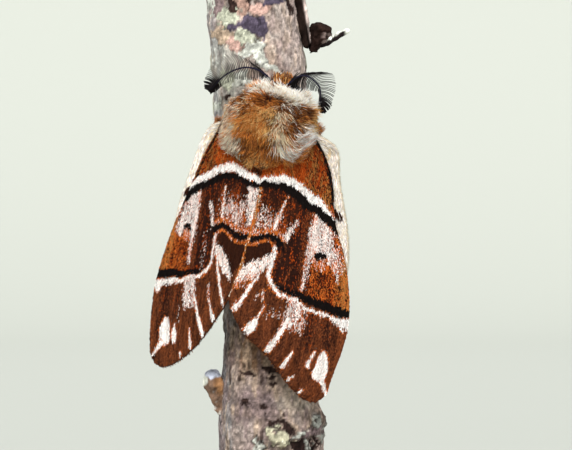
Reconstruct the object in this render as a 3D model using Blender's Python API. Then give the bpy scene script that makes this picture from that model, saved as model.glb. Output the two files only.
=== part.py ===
"""A male kentish glory moth at rest, head up, on a cut length of stem that a plain stand holds.

Sizes are in millimetres and are turned to metres when a mesh is made.
The world has +Z up, +X to the viewer's right and the moth's back towards -Y.
The moth is modelled in its own frame: x across the body (viewer's right positive),
s back from the middle of the thorax towards the tail, h out from the belly to the back.
"""
import random
from math import cos, hypot, pi, radians, sin

import bmesh
import bpy
from mathutils import Vector, noise

MM = 0.001

# The gap that neighbouring pieces keep
GAP = 0.32

# The moth's frame in the world
THORAX_CENTRE = Vector((-0.11, -10.0, 52.09))
LEAN = radians(12.4)
ROLL = radians(20.0)
LEVEL_RIGHT = Vector((cos(LEAN), 0, -sin(LEAN)))
HEADWARD = Vector((sin(LEAN), 0, cos(LEAN)))
TO_VIEWER = Vector((0, -1, 0))
RIGHT = LEVEL_RIGHT * cos(ROLL) + TO_VIEWER * sin(ROLL)
BACKWARD = -HEADWARD
OUTWARD = TO_VIEWER * cos(ROLL) - LEVEL_RIGHT * sin(ROLL)
SIDES = {"left": -1, "right": 1}

# The roof that the folded wings make
ROOF_TOP = 4.85
ROOF_SLOPE = 0.617
ROOF_FALL = 0.23
RIDGE_ROUND = 1.2
WING_THICK = 0.56
WING_STEP = 0.95
VEIN_HEIGHT = 0.16
VEIN_HALF = 0.014

# Forewing outlines, as (x, s) from the root out; x is counted outwards on either side
FOREWINGS = {
    "right": {
        "root": [(1.6, 4.3), (3.4, 3.3), (4.7, 1.7), (5.3, -0.2)],
        "inner": [(1.6, 4.3), (1.1, 7.0), (0.7, 11.0), (0.15, 15.0), (-0.55, 18.0)],
        "costa": [(5.3, -0.2), (6.6, 1.6), (7.7, 4.4), (8.4, 8.2), (10.0, 12.6), (10.9, 17.6),
                  (10.7, 21.0), (10.1, 24.2), (9.8, 26.0), (9.1, 26.95)],
        "termen": [(-0.55, 18.0), (0.0, 19.2), (1.6, 21.3), (3.9, 23.0), (6.1, 25.4), (7.8, 26.8), (9.1, 26.95)],
    },
    "left": {
        "root": [(-1.2, 4.5), (1.4, 4.4), (3.4, 3.2), (4.5, 1.6), (4.6, -0.1)],
        "inner": [(-1.2, 4.5), (-1.0, 8.0), (-0.5, 13.0), (0.3, 17.4)],
        "costa": [(4.6, -0.1), (5.3, 1.6), (6.85, 4.5), (8.4, 8.5), (10.0, 12.5), (11.3, 17.3),
                  (11.65, 20.6), (11.4, 23.8), (10.95, 26.0), (10.2, 26.95)],
        "termen": [(0.3, 17.4), (1.3, 19.2), (3.6, 23.0), (6.1, 25.6), (8.6, 27.05), (10.2, 26.95)],
    },
}
FORE_VEINS = (0.10, 0.28, 0.45, 0.59, 0.69, 0.79, 0.90)
FORE_ROWS = 15

# Hindwing outlines, tucked under the forewings with the front edge showing beside them
HINDWINGS = {
    "right": {
        "root": [(2.9, 3.6), (4.3, 2.0), (5.1, 0.1)],
        "inner": [(2.9, 3.6), (2.7, 9.0), (2.8, 16.6)],
        "costa": [(5.1, 0.1), (6.7, 0.3), (7.5, 1.2), (7.9, 3.7), (8.85, 7.0), (9.6, 10.4),
                  (9.7, 14.0), (8.6, 18.4)],
        "termen": [(2.8, 16.6), (4.2, 18.8), (6.5, 19.7), (8.6, 18.4)],
    },
    "left": {
        "root": [(2.9, 3.6), (4.2, 2.0), (4.8, 0.5)],
        "inner": [(2.9, 3.6), (2.7, 9.0), (2.8, 16.6)],
        "costa": [(4.8, 0.5), (6.3, 1.0), (7.3, 2.2), (8.1, 4.3), (9.0, 7.2), (9.8, 10.4),
                  (10.1, 14.0), (9.0, 18.4)],
        "termen": [(2.8, 16.6), (4.2, 18.8), (6.7, 19.7), (9.0, 18.4)],
    },
}
HIND_VEINS = (0.2, 0.42, 0.64, 0.84)
HIND_ROWS = 9

# Thorax: its middle height, then the reach of its core and of its coat's tips,
# each as length, width, back and belly
BODY_BOX = 2.5
THORAX_MIDDLE = (0.0, 0.15, 0.3)
THORAX_CORE = (3.75, 4.1, 3.6, 3.8)
THORAX_TIPS = (4.75, 5.35, 4.9, 4.1)
COAT_SWEEP = 40
# Rows of the thorax's locks: angle from the front, how many, how far round from the back they reach
THORAX_ROWS = [(42, 9, 112), (64, 11, 112), (82, 6, 46), (100, 6, 46), (118, 6, 50), (134, 5, 52)]
COLLAR_ROW = (56, 9, 112)
COLLAR_SWEEP = -36
LOCK_SPREAD = 1.4
LOCK_THICK = 0.62

# Head
HEAD_CENTRE = (0.0, -4.4, -1.1)
HEAD_CORE = (1.05, 1.3, 1.2, 1.25)
HEAD_TIPS = (1.35, 1.6, 1.6, 1.5)
HEAD_RADIUS = 1.6
HEAD_ROWS = [(128, 9, 140), (98, 10, 140), (66, 8, 140)]
HEAD_SWEEP = -38
HEAD_LOCK_THICK = 0.5
EYE_RADIUS = 0.7
EYE_BACK = 0.15
EYE_LOW = 0.2
EYE_SIDE = 1.45
EYE_BULGE = 0.5
EYE_BARE = (66, 122)

# Abdomen, as (s, height of its middle, radius)
ABDOMEN = [(4.5, -0.9, 1.9), (5.4, -0.95, 2.15), (7.5, -1.4, 2.2), (10.0, -2.0, 2.15),
           (12.5, -2.5, 1.9), (14.5, -2.85, 1.55), (16.0, -3.1, 1.0)]
ABDOMEN_TIP = (16.6, -3.2)
ABDOMEN_CORE = 0.8
# Rings of the abdomen's locks: where each is rooted, how long its locks are
ABDOMEN_RINGS = [(7.4, 3.6), (10.4, 3.4), (13.2, 3.0)]
ABDOMEN_SPINS = (66, 112, 158)
ABDOMEN_LOCK_WIDE = 0.95
ABDOMEN_LOCK_THICK = 0.5

# Antennae: the way the root leaves the head, then points of the shaft
ANTENNAE = {
    "left": [(-0.82, -0.42, 0.40), (-2.7, -5.68, -0.4), (-3.6, -5.75, -0.45), (-4.6, -5.63, -0.5),
             (-5.55, -5.2, -0.6), (-6.4, -4.65, -0.75), (-7.1, -4.0, -0.95), (-7.75, -3.15, -1.2),
             (-8.25, -2.5, -1.4)],
    "right": [(0.66, -0.60, 0.45), (1.95, -6.1, -0.3), (2.5, -6.1, -0.42), (3.1, -5.9, -0.55),
              (3.6, -5.6, -0.7), (4.0, -5.2, -0.85), (4.3, -4.6, -1.05), (4.5, -3.9, -1.25),
              (4.6, -3.2, -1.5)],
}
SHAFT_RADIUS = 0.28
RAY_RADIUS = 0.26
RAY_TIP = 0.12
RAY_PITCH = 0.86
RAY_LONGEST = 1.7
RAY_START = 1.3
# The two rows of rays: how far each leans from straight outwards, up and towards the tip, its size
RAY_ROWS = {"outer": (1, -0.15, 0.45, 1.0), "inner": (-1, -0.55, 0.35, 0.75)}

# Legs: root as angles from the thorax's front and from its belly line, then the knee, the
# ankle and the foot, each as an angle round the stem from the viewer's side, a height and,
# for the knee, how far off the stem it is
LEGS = {
    "fore_left": ((64, -26), (-3, 56.2, 1.7), (-12, 55.2), (-15, 53.4)),
    "fore_right": ((64, 26), (33, 55.4, 3.2), (38, 54.0), (36, 56.0)),
    "mid_left": ((88, -36), (-38, 52.9, 2.5), (-62, 50.6), (-78, 49.0)),
    "mid_right": ((88, 36), (47, 52.2, 3.5), (66, 50.0), (80, 48.2)),
    "hind_left": ((114, -34), (-40, 49.4, 2.3), (-66, 46.0), (-80, 44.0)),
    "hind_right": ((114, 34), (46, 48.6, 3.2), (66, 45.0), (78, 43.0)),
}
FEMUR_RADIUS = 0.5
TIBIA_RADIUS = 0.36
TARSUS_RADIUS = 0.26

# Stem, as (height, middle across, radius)
STEM = [(15.3, 0.0, 5.5), (20.5, -0.2, 5.6), (24.0, -0.4, 5.15), (30.0, -0.35, 4.8),
        (42.0, -0.8, 4.85), (52.0, -1.2, 4.95), (58.7, -1.47, 5.0), (61.0, -1.67, 4.95),
        (65.7, -2.2, 4.85), (68.6, -2.5, 4.8)]
STEM_SIDES = 30
STEM_RINGS = 24
BARK_RELIEF = 0.16
BARK_GRAIN = 0.28
# Swellings of the stem: angle round it from the viewer's side, height, rise, size
SWELLINGS = [(78, 21.4, 0.55, 1.6), (10, 19.6, 0.45, 2.0), (-70, 63.5, 0.3, 2.4), (150, 33.0, 0.5, 3.0)]
# Side twig, bud scale and bark strip at the top right, and the bud at the lower left:
# world points with a radius at each
STRIP = [((2.6, -1.0, 67.6), 0.75), ((3.0, -1.0, 65.2), 0.8), ((3.4, -1.0, 63.0), 0.75),
         ((3.8, -1.0, 60.9), 0.5)]
BUD_SCALE = [((4.1, -0.9, 60.5), 0.45), ((4.6, -0.9, 61.4), 0.95), ((4.95, -0.9, 62.6), 1.15),
             ((5.15, -0.9, 63.7), 0.95)]
TWIG = [((4.6, -0.8, 61.2), 0.45), ((5.9, -0.8, 61.7), 0.38), ((7.2, -0.8, 62.4), 0.3),
        ((8.3, -0.8, 62.9), 0.27)]
LOW_BUD = [((-5.3, -0.8, 22.2), 0.5), ((-5.9, -0.9, 23.6), 0.85), ((-6.4, -1.0, 25.2), 1.15),
           ((-6.6, -1.0, 26.1), 0.8)]

# Stand
BASE_RADIUS = 24.0
BASE_HEIGHT = 5.0
BASE_BEVEL = 0.8
ROD_RADIUS = 1.5


def clear_scene():
    for thing in list(bpy.data.objects):
        bpy.data.objects.remove(thing, do_unlink=True)


def material(name, colour, roughness, metallic=0.0):
    made = bpy.data.materials.new(name)
    made.use_nodes = True
    shader = made.node_tree.nodes["Principled BSDF"]
    shader.inputs["Base Color"].default_value = (*colour, 1.0)
    shader.inputs["Roughness"].default_value = roughness
    shader.inputs["Metallic"].default_value = metallic
    return made


def world(x, s, h):
    """A point of the moth's frame, in world millimetres."""
    return THORAX_CENTRE + RIGHT * x + BACKWARD * s + OUTWARD * h


def make(name, points, faces, finish):
    """One object from points in world millimetres."""
    mesh = bpy.data.meshes.new(name)
    mesh.from_pydata([tuple(p * MM) for p in points], [], faces)
    mesh.update()
    mesh.materials.append(finish)
    thing = bpy.data.objects.new(name, mesh)
    bpy.context.scene.collection.objects.link(thing)
    return thing


def curve(points, per=10):
    """A dense smooth line through the given points."""
    knots = [Vector(p) for p in points]
    knots = [2 * knots[0] - knots[1]] + knots + [2 * knots[-1] - knots[-2]]
    line = []
    for a, b, c, d in zip(knots, knots[1:], knots[2:], knots[3:]):
        for k in range(per):
            t = k / per
            line.append(0.5 * (2 * b + (c - a) * t + (2 * a - 5 * b + 4 * c - d) * t * t
                               + (3 * b - a - 3 * c + d) * t ** 3))
    return line + [knots[-2]]


def spread(points, fractions):
    """Points at the given fractions of the smooth line's length."""
    line = curve(points)
    marks = [0.0]
    for a, b in zip(line, line[1:]):
        marks.append(marks[-1] + (b - a).length)
    found = []
    k = 0
    for fraction in fractions:
        want = fraction * marks[-1]
        while k < len(line) - 2 and marks[k + 1] < want:
            k += 1
        share = (want - marks[k]) / (marks[k + 1] - marks[k])
        found.append(line[k].lerp(line[k + 1], min(max(share, 0.0), 1.0)))
    return found


def roof(x, s):
    """Height of the right forewing's middle surface."""
    return ROOF_TOP - ROOF_SLOPE * hypot(x, RIDGE_ROUND) - ROOF_FALL * s


def under_step(x):
    """How far the left forewing dips to pass under the right one at the ridge."""
    t = min(max((x + 4.0) / 3.0, 0.0), 1.0)
    return WING_STEP * t * t * (3 - 2 * t)


def fore_height(side):
    if side == "right":
        return roof
    return lambda x, s: roof(x, s) - under_step(x)


def hind_height(side):
    above = fore_height(side)
    return lambda x, s: above(x, s) - WING_STEP


def wing_grid(outline, across, along):
    """Points (x, s) of a four-sided wing, in columns from its inner margin to its costa."""
    inner, costa = spread(outline["inner"], along), spread(outline["costa"], along)
    root, termen = spread(outline["root"], across), spread(outline["termen"], across)
    grid = []
    for i, u in enumerate(across):
        column = []
        for j, t in enumerate(along):
            sides = inner[j] * (1 - u) + costa[j] * u
            ends = root[i] * (1 - t) + termen[i] * t
            corners = ((inner[0] * (1 - u) + costa[0] * u) * (1 - t)
                       + (inner[-1] * (1 - u) + costa[-1] * u) * t)
            column.append(sides + ends - corners)
        grid.append(column)
    return grid


def slab(name, side, grid, top, bottom, finish):
    """A closed sheet over a grid, split into triangles alike on both faces."""
    sign = SIDES[side]
    columns, rows = len(grid), len(grid[0])
    points = []
    for height in (top, bottom):
        for i in range(columns):
            for j in range(rows):
                x, s = sign * grid[i][j].x, grid[i][j].y
                points.append(world(x, s, height(i, j, x, s)))
    under = columns * rows
    faces = []
    for i in range(columns - 1):
        for j in range(rows - 1):
            a, b = i * rows + j, (i + 1) * rows + j
            faces += [(a, b, b + 1), (a, b + 1, a + 1)]
            a, b = a + under, b + under
            faces += [(b + 1, b, a), (a + 1, b + 1, a)]
    rim = [(i, 0) for i in range(columns)] + [(columns - 1, j) for j in range(1, rows)]
    rim += [(i, rows - 1) for i in range(columns - 2, -1, -1)] + [(0, j) for j in range(rows - 2, 0, -1)]
    for (i, j), (k, m) in zip(rim, rim[1:] + rim[:1]):
        a, b = i * rows + j, k * rows + m
        faces += [(b, a, a + under), (b, a + under, b + under)]
    if sign > 0:
        faces = [face[::-1] for face in faces]
    return make(name, points, faces, finish)


def wing(name, side, outline, height, veins, rows, finish):
    """One wing: a thin roofed sheet whose main veins stand up as ridges in its top face."""
    across = [0.0]
    for vein in veins:
        across += [vein - VEIN_HALF, vein, vein + VEIN_HALF]
    across.append(1.0)
    along = [j / rows for j in range(rows + 1)]
    crests = {3 * k + 2 for k in range(len(veins))}

    def top(i, j, x, s):
        ridge = VEIN_HEIGHT * min(1.0, 4 * along[j]) if i in crests else 0.0
        return height(x, s) + WING_THICK / 2 + ridge

    def bottom(i, j, x, s):
        return height(x, s) - WING_THICK / 2

    return slab(name, side, wing_grid(outline, across, along), top, bottom, finish)


def loft(name, sections, sides, finish, tips=(None, None)):
    """A closed body through rings (s, h, half width, reach up, reach down) with pointed ends."""
    points, faces = [], []
    for s, h, wide, up, down in sections:
        for k in range(sides):
            turn = 2 * pi * k / sides
            reach = up if cos(turn) > 0 else down
            points.append(world(wide * sin(turn), s, h + reach * cos(turn)))
    for r in range(len(sections) - 1):
        for k in range(sides):
            a, b = r * sides + k, r * sides + (k + 1) % sides
            faces += [(a, b, b + sides), (a, b + sides, a + sides)]
    for end, ring in zip(tips, (0, len(sections) - 1)):
        first = ring * sides
        loop = [first + k for k in range(sides)]
        if end is None:
            end = sum((points[k] for k in loop), Vector()) / sides
        else:
            end = world(*end)
        points.append(end)
        tip = len(points) - 1
        for a, b in zip(loop, loop[1:] + loop[:1]):
            faces.append((a, tip, b) if ring == 0 else (a, b, tip))
    return make(name, points, faces, finish)


def tube(name, path, radii, sides, finish):
    """A closed round body along a path of world points, its ends slightly domed."""
    points, faces = [], []
    side_way = Vector((0, 0, 1))
    for k, (middle, radius) in enumerate(zip(path, radii)):
        ahead = path[min(k + 1, len(path) - 1)] - path[max(k - 1, 0)]
        ahead.normalize()
        if k == 0 and abs(ahead.z) > 0.9:
            side_way = Vector((1, 0, 0))
        side_way = (side_way - ahead * side_way.dot(ahead)).normalized()
        third = ahead.cross(side_way)
        for j in range(sides):
            turn = 2 * pi * j / sides
            points.append(middle + (side_way * cos(turn) + third * sin(turn)) * radius)
    for r in range(len(path) - 1):
        for j in range(sides):
            a, b = r * sides + j, r * sides + (j + 1) % sides
            faces += [(a, b, b + sides), (a, b + sides, a + sides)]
    for ring, other in ((0, 1), (len(path) - 1, len(path) - 2)):
        away = (path[ring] - path[other]).normalized()
        points.append(path[ring] + away * radii[ring] * 0.4)
        tip = len(points) - 1
        loop = [ring * sides + j for j in range(sides)]
        for a, b in zip(loop, loop[1:] + loop[:1]):
            faces.append((a, tip, b) if ring == 0 else (a, b, tip))
    return make(name, points, faces, finish)


def faces_out(thing):
    """Turn a closed mesh's faces outwards."""
    mesh = bmesh.new()
    mesh.from_mesh(thing.data)
    bmesh.ops.recalc_face_normals(mesh, faces=mesh.faces)
    if mesh.calc_volume(signed=True) < 0:
        bmesh.ops.reverse_faces(mesh, faces=mesh.faces)
    mesh.to_mesh(thing.data)
    mesh.free()
    return thing


def settle(thing):
    """Replace an object's mesh by what its modifiers make of it."""
    graph = bpy.context.evaluated_depsgraph_get()
    done = bpy.data.meshes.new_from_object(thing.evaluated_get(graph))
    thing.modifiers.clear()
    thing.data = done


def largest_only(thing):
    """Keep the largest closed surface of a mesh."""
    mesh = bmesh.new()
    mesh.from_mesh(thing.data)
    waiting = set(mesh.faces)
    shells = []
    while waiting:
        front = [waiting.pop()]
        shell = set(front)
        while front:
            for edge in front.pop().edges:
                for face in edge.link_faces:
                    if face in waiting:
                        waiting.discard(face)
                        shell.add(face)
                        front.append(face)
        shells.append(shell)
    shells.sort(key=lambda shell: sum(face.calc_area() for face in shell), reverse=True)
    loose = [face for shell in shells[1:] for face in shell]
    bmesh.ops.delete(mesh, geom=loose, context="FACES")
    mesh.to_mesh(thing.data)
    mesh.free()


def boolean(thing, others, operation, solver="EXACT"):
    """Join closed pieces to a body, or cut them out of it, in one step."""
    group = bpy.data.collections.new(thing.name + "_pieces")
    bpy.context.scene.collection.children.link(group)
    for other in others:
        bpy.context.scene.collection.objects.unlink(other)
        group.objects.link(other)
    step = thing.modifiers.new("Join", "BOOLEAN")
    step.operand_type = "COLLECTION"
    step.collection = group
    step.operation = operation
    step.solver = solver
    settle(thing)
    for other in others:
        bpy.data.objects.remove(other, do_unlink=True)
    bpy.data.collections.remove(group)
    largest_only(thing)


def shell_point(middle, reach, turn, spin):
    """A point of a boxy ball, by its angle from the front and its angle round from the back."""
    ways = Vector((sin(turn) * sin(spin), -cos(turn), sin(turn) * cos(spin)))
    swell = sum(abs(way) ** BODY_BOX for way in ways) ** (-1 / BODY_BOX)
    length, wide, up, down = reach
    axes = (wide, length, up if ways.z > 0 else down)
    return Vector([at + axis * way * swell for at, axis, way in zip(middle, axes, ways)])


def shell(name, middle, reach, rings, sides, finish):
    """A closed boxy ball."""
    points, faces = [world(*shell_point(middle, reach, 0, 0))], []
    for r in range(1, rings):
        for k in range(sides):
            points.append(world(*shell_point(middle, reach, pi * r / rings, 2 * pi * k / sides)))
    points.append(world(*shell_point(middle, reach, pi, 0)))
    for k in range(sides):
        a, b = 1 + k, 1 + (k + 1) % sides
        faces.append((0, b, a))
        for r in range(rings - 2):
            c, d = a + r * sides, b + r * sides
            faces += [(c, d, d + sides), (c, d + sides, c + sides)]
        last = (rings - 2) * sides
        faces.append((a + last, b + last, len(points) - 1))
    return faces_out(make(name, points, faces, finish))


def lock(path, outs, widths, thicks, finish):
    """A flat, tapered, bending lock: four-sided rings along a path that ends in a point."""
    points, faces = [], []
    for k, (width, thick) in enumerate(zip(widths, thicks)):
        ahead = (path[k + 1] - path[max(k - 1, 0)]).normalized()
        across = ahead.cross(outs[k]).normalized()
        up = across.cross(ahead)
        points += [path[k] + across * width / 2, path[k] + up * thick / 2,
                   path[k] - across * width / 2, path[k] - up * thick / 2]
    for r in range(len(widths) - 1):
        for j in range(4):
            a, b = r * 4 + j, r * 4 + (j + 1) % 4
            faces += [(a, b, b + 4), (a, b + 4, a + 4)]
    faces += [(0, 2, 1), (0, 3, 2)]
    points.append(path[-1])
    last = (len(widths) - 1) * 4
    for j in range(4):
        faces.append((last + j, last + (j + 1) % 4, len(points) - 1))
    return faces_out(make("lock", points, faces, finish))


def coat_lock(middle, core, tips, place, sweep, width, thick, finish, draw):
    """One lock from a core out to its coat's tips, swept along the lie of the coat."""
    turn, spin, drift = place
    path, outs = [], []
    for part, share in ((0.0, -0.35), (0.34, 0.62), (0.68, 0.92), (1.0, 1.0)):
        at = radians(min(max(turn + sweep * part, 2), 178))
        around = radians(spin * (1 + drift * part))
        inner, outer = shell_point(middle, core, at, around), shell_point(middle, tips, at, around)
        path.append(world(*inner.lerp(outer, share)))
        outs.append(world(*outer) - world(*middle))
    bend = draw.uniform(-0.12, 0.12) * width
    path[-1] += (path[-1] - path[-2]).cross(outs[-1]).normalized() * bend
    widths = [width * 0.8, width, width * 0.75]
    thicks = [thick, thick, thick * 0.75]
    return lock(path, outs, widths, thicks, finish)


def coat_row(middle, core, tips, row, sweep, thick, finish, draw, drift=0.0, bare=None):
    """A row of locks round a body, evenly spaced and a little uneven as real ones are."""
    turn, count, reach = row
    step = 2 * reach / (count - 1)
    wide = core[1] * sin(radians(turn)) * radians(step) * LOCK_SPREAD
    row_locks = []
    for k in range(count):
        spin = -reach + step * k + draw.uniform(-0.12, 0.12) * step
        if bare and bare[0] < abs(spin) < bare[1]:
            continue
        place = (turn + draw.uniform(-4, 4), spin, drift)
        width = wide * draw.uniform(0.9, 1.12)
        row_locks.append(coat_lock(middle, core, tips, place, sweep * draw.uniform(0.9, 1.1), width,
                                   thick, finish, draw))
    return row_locks


def wing_room(side):
    """The space that a side's two wings need beside the thorax, with the usual gap round it."""
    outline = dict(FOREWINGS[side])
    start = outline["root"]
    pulled = [(x - GAP * 1.5, s - GAP * 1.5) for x, s in start]
    outline["root"] = pulled
    outline["inner"] = [pulled[0]] + outline["inner"][1:]
    outline["costa"] = [pulled[-1], (7.6, -0.6), (9.0, 4.4)] + outline["costa"][4:]
    middle = fore_height(side)
    above = WING_THICK / 2 + VEIN_HEIGHT + GAP
    below = WING_STEP + WING_THICK / 2 + GAP
    grid = wing_grid(outline, [k / 8 for k in range(9)], [k / 6 for k in range(7)])
    return slab("room_" + side, side, grid, lambda i, j, x, s: middle(x, s) + above,
                lambda i, j, x, s: middle(x, s) - below, bpy.data.materials["coat_ochre"])


def make_wings():
    for side in SIDES:
        wing("forewing_" + side, side, FOREWINGS[side], fore_height(side), FORE_VEINS, FORE_ROWS,
             bpy.data.materials["wing_scales"])
        wing("hindwing_" + side, side, HINDWINGS[side], hind_height(side), HIND_VEINS, HIND_ROWS,
             bpy.data.materials["hindwing_scales"])


def make_thorax():
    finish = bpy.data.materials["coat_ochre"]
    draw = random.Random(7)
    thorax = shell("thorax", THORAX_MIDDLE, THORAX_CORE, 12, 22, finish)
    body = (THORAX_MIDDLE, THORAX_CORE, THORAX_TIPS)
    locks = coat_row(*body, COLLAR_ROW, COLLAR_SWEEP, LOCK_THICK, finish, draw)
    for row in THORAX_ROWS:
        drift = 0.35 if row[0] > 70 else 0.0
        locks += coat_row(*body, row, COAT_SWEEP, LOCK_THICK, finish, draw, drift)
    boolean(thorax, locks, "UNION")
    s, h, radius = ABDOMEN[0]
    wide = ABDOMEN[1][2] + GAP
    sections = [(s - GAP, h, wide, wide, wide), (8.0, h - 0.4, wide, wide, wide)]
    abdomen_room = loft("abdomen_room", sections, 24, finish)
    room = HEAD_RADIUS + GAP
    eyes = EYE_SIDE + EYE_BULGE + GAP
    head_room = shell("head_room", HEAD_CENTRE, (room, eyes, room, room), 10, 20, finish)
    rooms = [faces_out(wing_room(side)) for side in SIDES] + [faces_out(abdomen_room), head_room]
    boolean(thorax, rooms, "DIFFERENCE")


def make_abdomen():
    finish = bpy.data.materials["coat_grey"]
    draw = random.Random(11)
    sections = []
    for s, h, radius in ABDOMEN:
        core = radius * ABDOMEN_CORE
        sections.append((s, h, core, core, core))
    abdomen = faces_out(loft("abdomen", sections, 16, finish, tips=(None, (0.0, *ABDOMEN_TIP))))
    locks = []
    for s, length in ABDOMEN_RINGS:
        for spin in ABDOMEN_SPINS:
            for sign in (-1, 1):
                around = radians(sign * (spin + draw.uniform(-5, 5)))
                path, outs = [], []
                for part, share in ((0.0, 0.62), (0.35, 0.9), (0.7, 1.0), (1.0, 0.97)):
                    at = s + length * part * draw.uniform(0.95, 1.05)
                    middle, radius = abdomen_at(at)
                    out = Vector((sin(around), 0, cos(around)))
                    path.append(world(out.x * radius * share, at, middle + out.z * radius * share))
                    outs.append(RIGHT * out.x + OUTWARD * out.z)
                wide = abdomen_at(s)[1] * ABDOMEN_LOCK_WIDE
                locks.append(lock(path, outs, [wide * 0.8, wide, wide * 0.7],
                                  [ABDOMEN_LOCK_THICK] * 3, finish))
    boolean(abdomen, locks, "UNION")


def abdomen_at(s):
    """Height of the abdomen's middle and its radius at a place along it."""
    for (s0, h0, r0), (s1, h1, r1) in zip(ABDOMEN, ABDOMEN[1:]):
        if s <= s1:
            t = (s - s0) / (s1 - s0)
            return h0 + (h1 - h0) * t, r0 + (r1 - r0) * t
    return ABDOMEN[-1][1] - 0.1, ABDOMEN[-1][2] * 0.5


def make_head():
    x, s, h = HEAD_CENTRE
    finish = bpy.data.materials["coat_brown"]
    draw = random.Random(5)
    head = shell("head", HEAD_CENTRE, HEAD_CORE, 8, 16, finish)
    locks = []
    for row in HEAD_ROWS:
        bare = EYE_BARE if row[0] < 110 else None
        locks += coat_row(HEAD_CENTRE, HEAD_CORE, HEAD_TIPS, row, HEAD_SWEEP, HEAD_LOCK_THICK, finish, draw, 0.0,
                          bare)
    boolean(head, locks, "UNION")
    cutters = []
    for side, sign in SIDES.items():
        wall = sign * (EYE_SIDE - GAP)
        far = sign * 4.0
        corners = [world(across, back, up) for across in (wall, far)
                   for back in (s - 1.0, s + 1.3) for up in (h - 1.3, h + 0.9)]
        box = [(0, 1, 3, 2), (4, 6, 7, 5), (0, 4, 5, 1), (2, 3, 7, 6), (0, 2, 6, 4), (1, 5, 7, 3)]
        cutters.append(faces_out(make("socket_" + side, corners, box, finish)))
    boolean(head, cutters, "DIFFERENCE")


def make_eyes():
    """Each eye is a dome whose flat back faces the socket's wall."""
    x, s, h = HEAD_CENTRE
    for side, sign in SIDES.items():
        path, radii = [], []
        for k in range(5):
            turn = pi / 2 * k / 5
            path.append(world(sign * (EYE_SIDE + EYE_BULGE * sin(turn)), s + EYE_BACK, h - EYE_LOW))
            radii.append(EYE_RADIUS * cos(turn))
        faces_out(tube("eye_" + side, path, radii, 14, bpy.data.materials["eye"]))


def ray(root, way, bend, length, finish):
    """One tapered ray of an antenna, curving towards the antenna's tip."""
    path = [root - way * SHAFT_RADIUS * 0.5, root + way * length * 0.5,
            root + way * length + bend * length * 0.22]
    return faces_out(tube("ray", path, [RAY_RADIUS, (RAY_RADIUS + RAY_TIP) / 2, RAY_TIP], 4, finish))


def make_antennae():
    finish = bpy.data.materials["antenna"]
    head = Vector(HEAD_CENTRE)
    for side, sign in SIDES.items():
        leave = Vector(ANTENNAE[side][0]).normalized()
        root = head + leave * (HEAD_RADIUS + GAP + SHAFT_RADIUS * 0.5)
        points = [tuple(root)] + ANTENNAE[side][1:]
        line = [world(*point) for point in spread(points, [k / 24 for k in range(25)])]
        length = sum((b - a).length for a, b in zip(line, line[1:]))
        radii = [SHAFT_RADIUS * (1 - 0.1 * k / 12) for k in range(13)]
        shaft = faces_out(tube("antenna_" + side, line[::2], radii, 6, finish))
        count = int((length - RAY_START) / RAY_PITCH)
        rays = []
        for k in range(count + 1):
            share = (RAY_START + RAY_PITCH * k) / length
            at = min(int(share * 24), 23)
            root = line[at].lerp(line[at + 1], share * 24 - at)
            ahead = (line[at + 1] - line[at]).normalized()
            outer = OUTWARD.cross(ahead).normalized() * -sign
            swell = sin(pi * min(1.0, 0.22 + 0.70 * share)) ** 0.8
            for turned, up, lean, size in RAY_ROWS.values():
                way = (outer * turned + OUTWARD * up + ahead * lean).normalized()
                if side == "right" and turned < 0:
                    size *= 1 - 0.75 * share
                rays.append(ray(root, way, ahead, RAY_LONGEST * swell * size, finish))
        boolean(shaft, rays, "UNION")


def stem_at(height):
    """The stem's middle across and its radius at a height."""
    for (z0, x0, r0), (z1, x1, r1) in zip(STEM, STEM[1:]):
        if height <= z1:
            t = (height - z0) / (z1 - z0)
            return x0 + (x1 - x0) * t, r0 + (r1 - r0) * t
    return STEM[-1][1:]


def bark(turn, z):
    """How far the bark stands out at an angle round the stem and a height."""
    place = Vector((cos(turn) * 3, sin(turn) * 3, z * 0.45)) * BARK_GRAIN * 2
    rise = BARK_RELIEF * noise.noise(place)
    for angle, height, lift, size in SWELLINGS:
        apart = (turn - radians(angle) + pi) % (2 * pi) - pi
        near = (apart * 5 / size) ** 2 + ((z - height) / size) ** 2
        rise += lift * max(0.0, 1 - near) ** 2
    return rise


def on_stem(angle, height, clear):
    """A point beside the stem, at an angle round it from the viewer's side."""
    turn = radians(angle)
    middle, radius = stem_at(height)
    radius += bark(turn, height)
    return Vector((middle + (radius + clear) * sin(turn), -(radius + clear) * cos(turn), height))


def belly_point(turn, spin, clear):
    """A point off the thorax's underside, by angles from its front and from its belly line."""
    core = THORAX_CORE
    at = shell_point(THORAX_MIDDLE, core, radians(turn), radians(180 - spin))
    off = []
    for value, middle, axis in zip(at, THORAX_MIDDLE, (core[1], core[0], core[3])):
        share = (value - middle) / axis
        off.append(abs(share) ** (BODY_BOX - 1) * (1 if share > 0 else -1) / axis)
    return world(*(at + Vector(off).normalized() * clear))


def make_legs():
    for name, (root, knee, ankle, foot) in LEGS.items():
        hip, bend = belly_point(*root, FEMUR_RADIUS + GAP), on_stem(*knee)
        heel = on_stem(*ankle, TIBIA_RADIUS + GAP + 0.2)
        mid = on_stem((ankle[0] + foot[0]) / 2, (ankle[1] + foot[1]) / 2, TARSUS_RADIUS + GAP + 0.1)
        toe = on_stem(*foot, TARSUS_RADIUS + GAP)
        path = [hip, hip.lerp(bend, 0.5), bend, bend.lerp(heel, 0.5), heel, mid, toe]
        radii = [FEMUR_RADIUS, FEMUR_RADIUS * 1.1, TIBIA_RADIUS * 1.1, TIBIA_RADIUS,
                 TARSUS_RADIUS * 1.1, TARSUS_RADIUS, TARSUS_RADIUS]
        faces_out(tube("leg_" + name, path, radii, 8, bpy.data.materials["leg"]))


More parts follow.
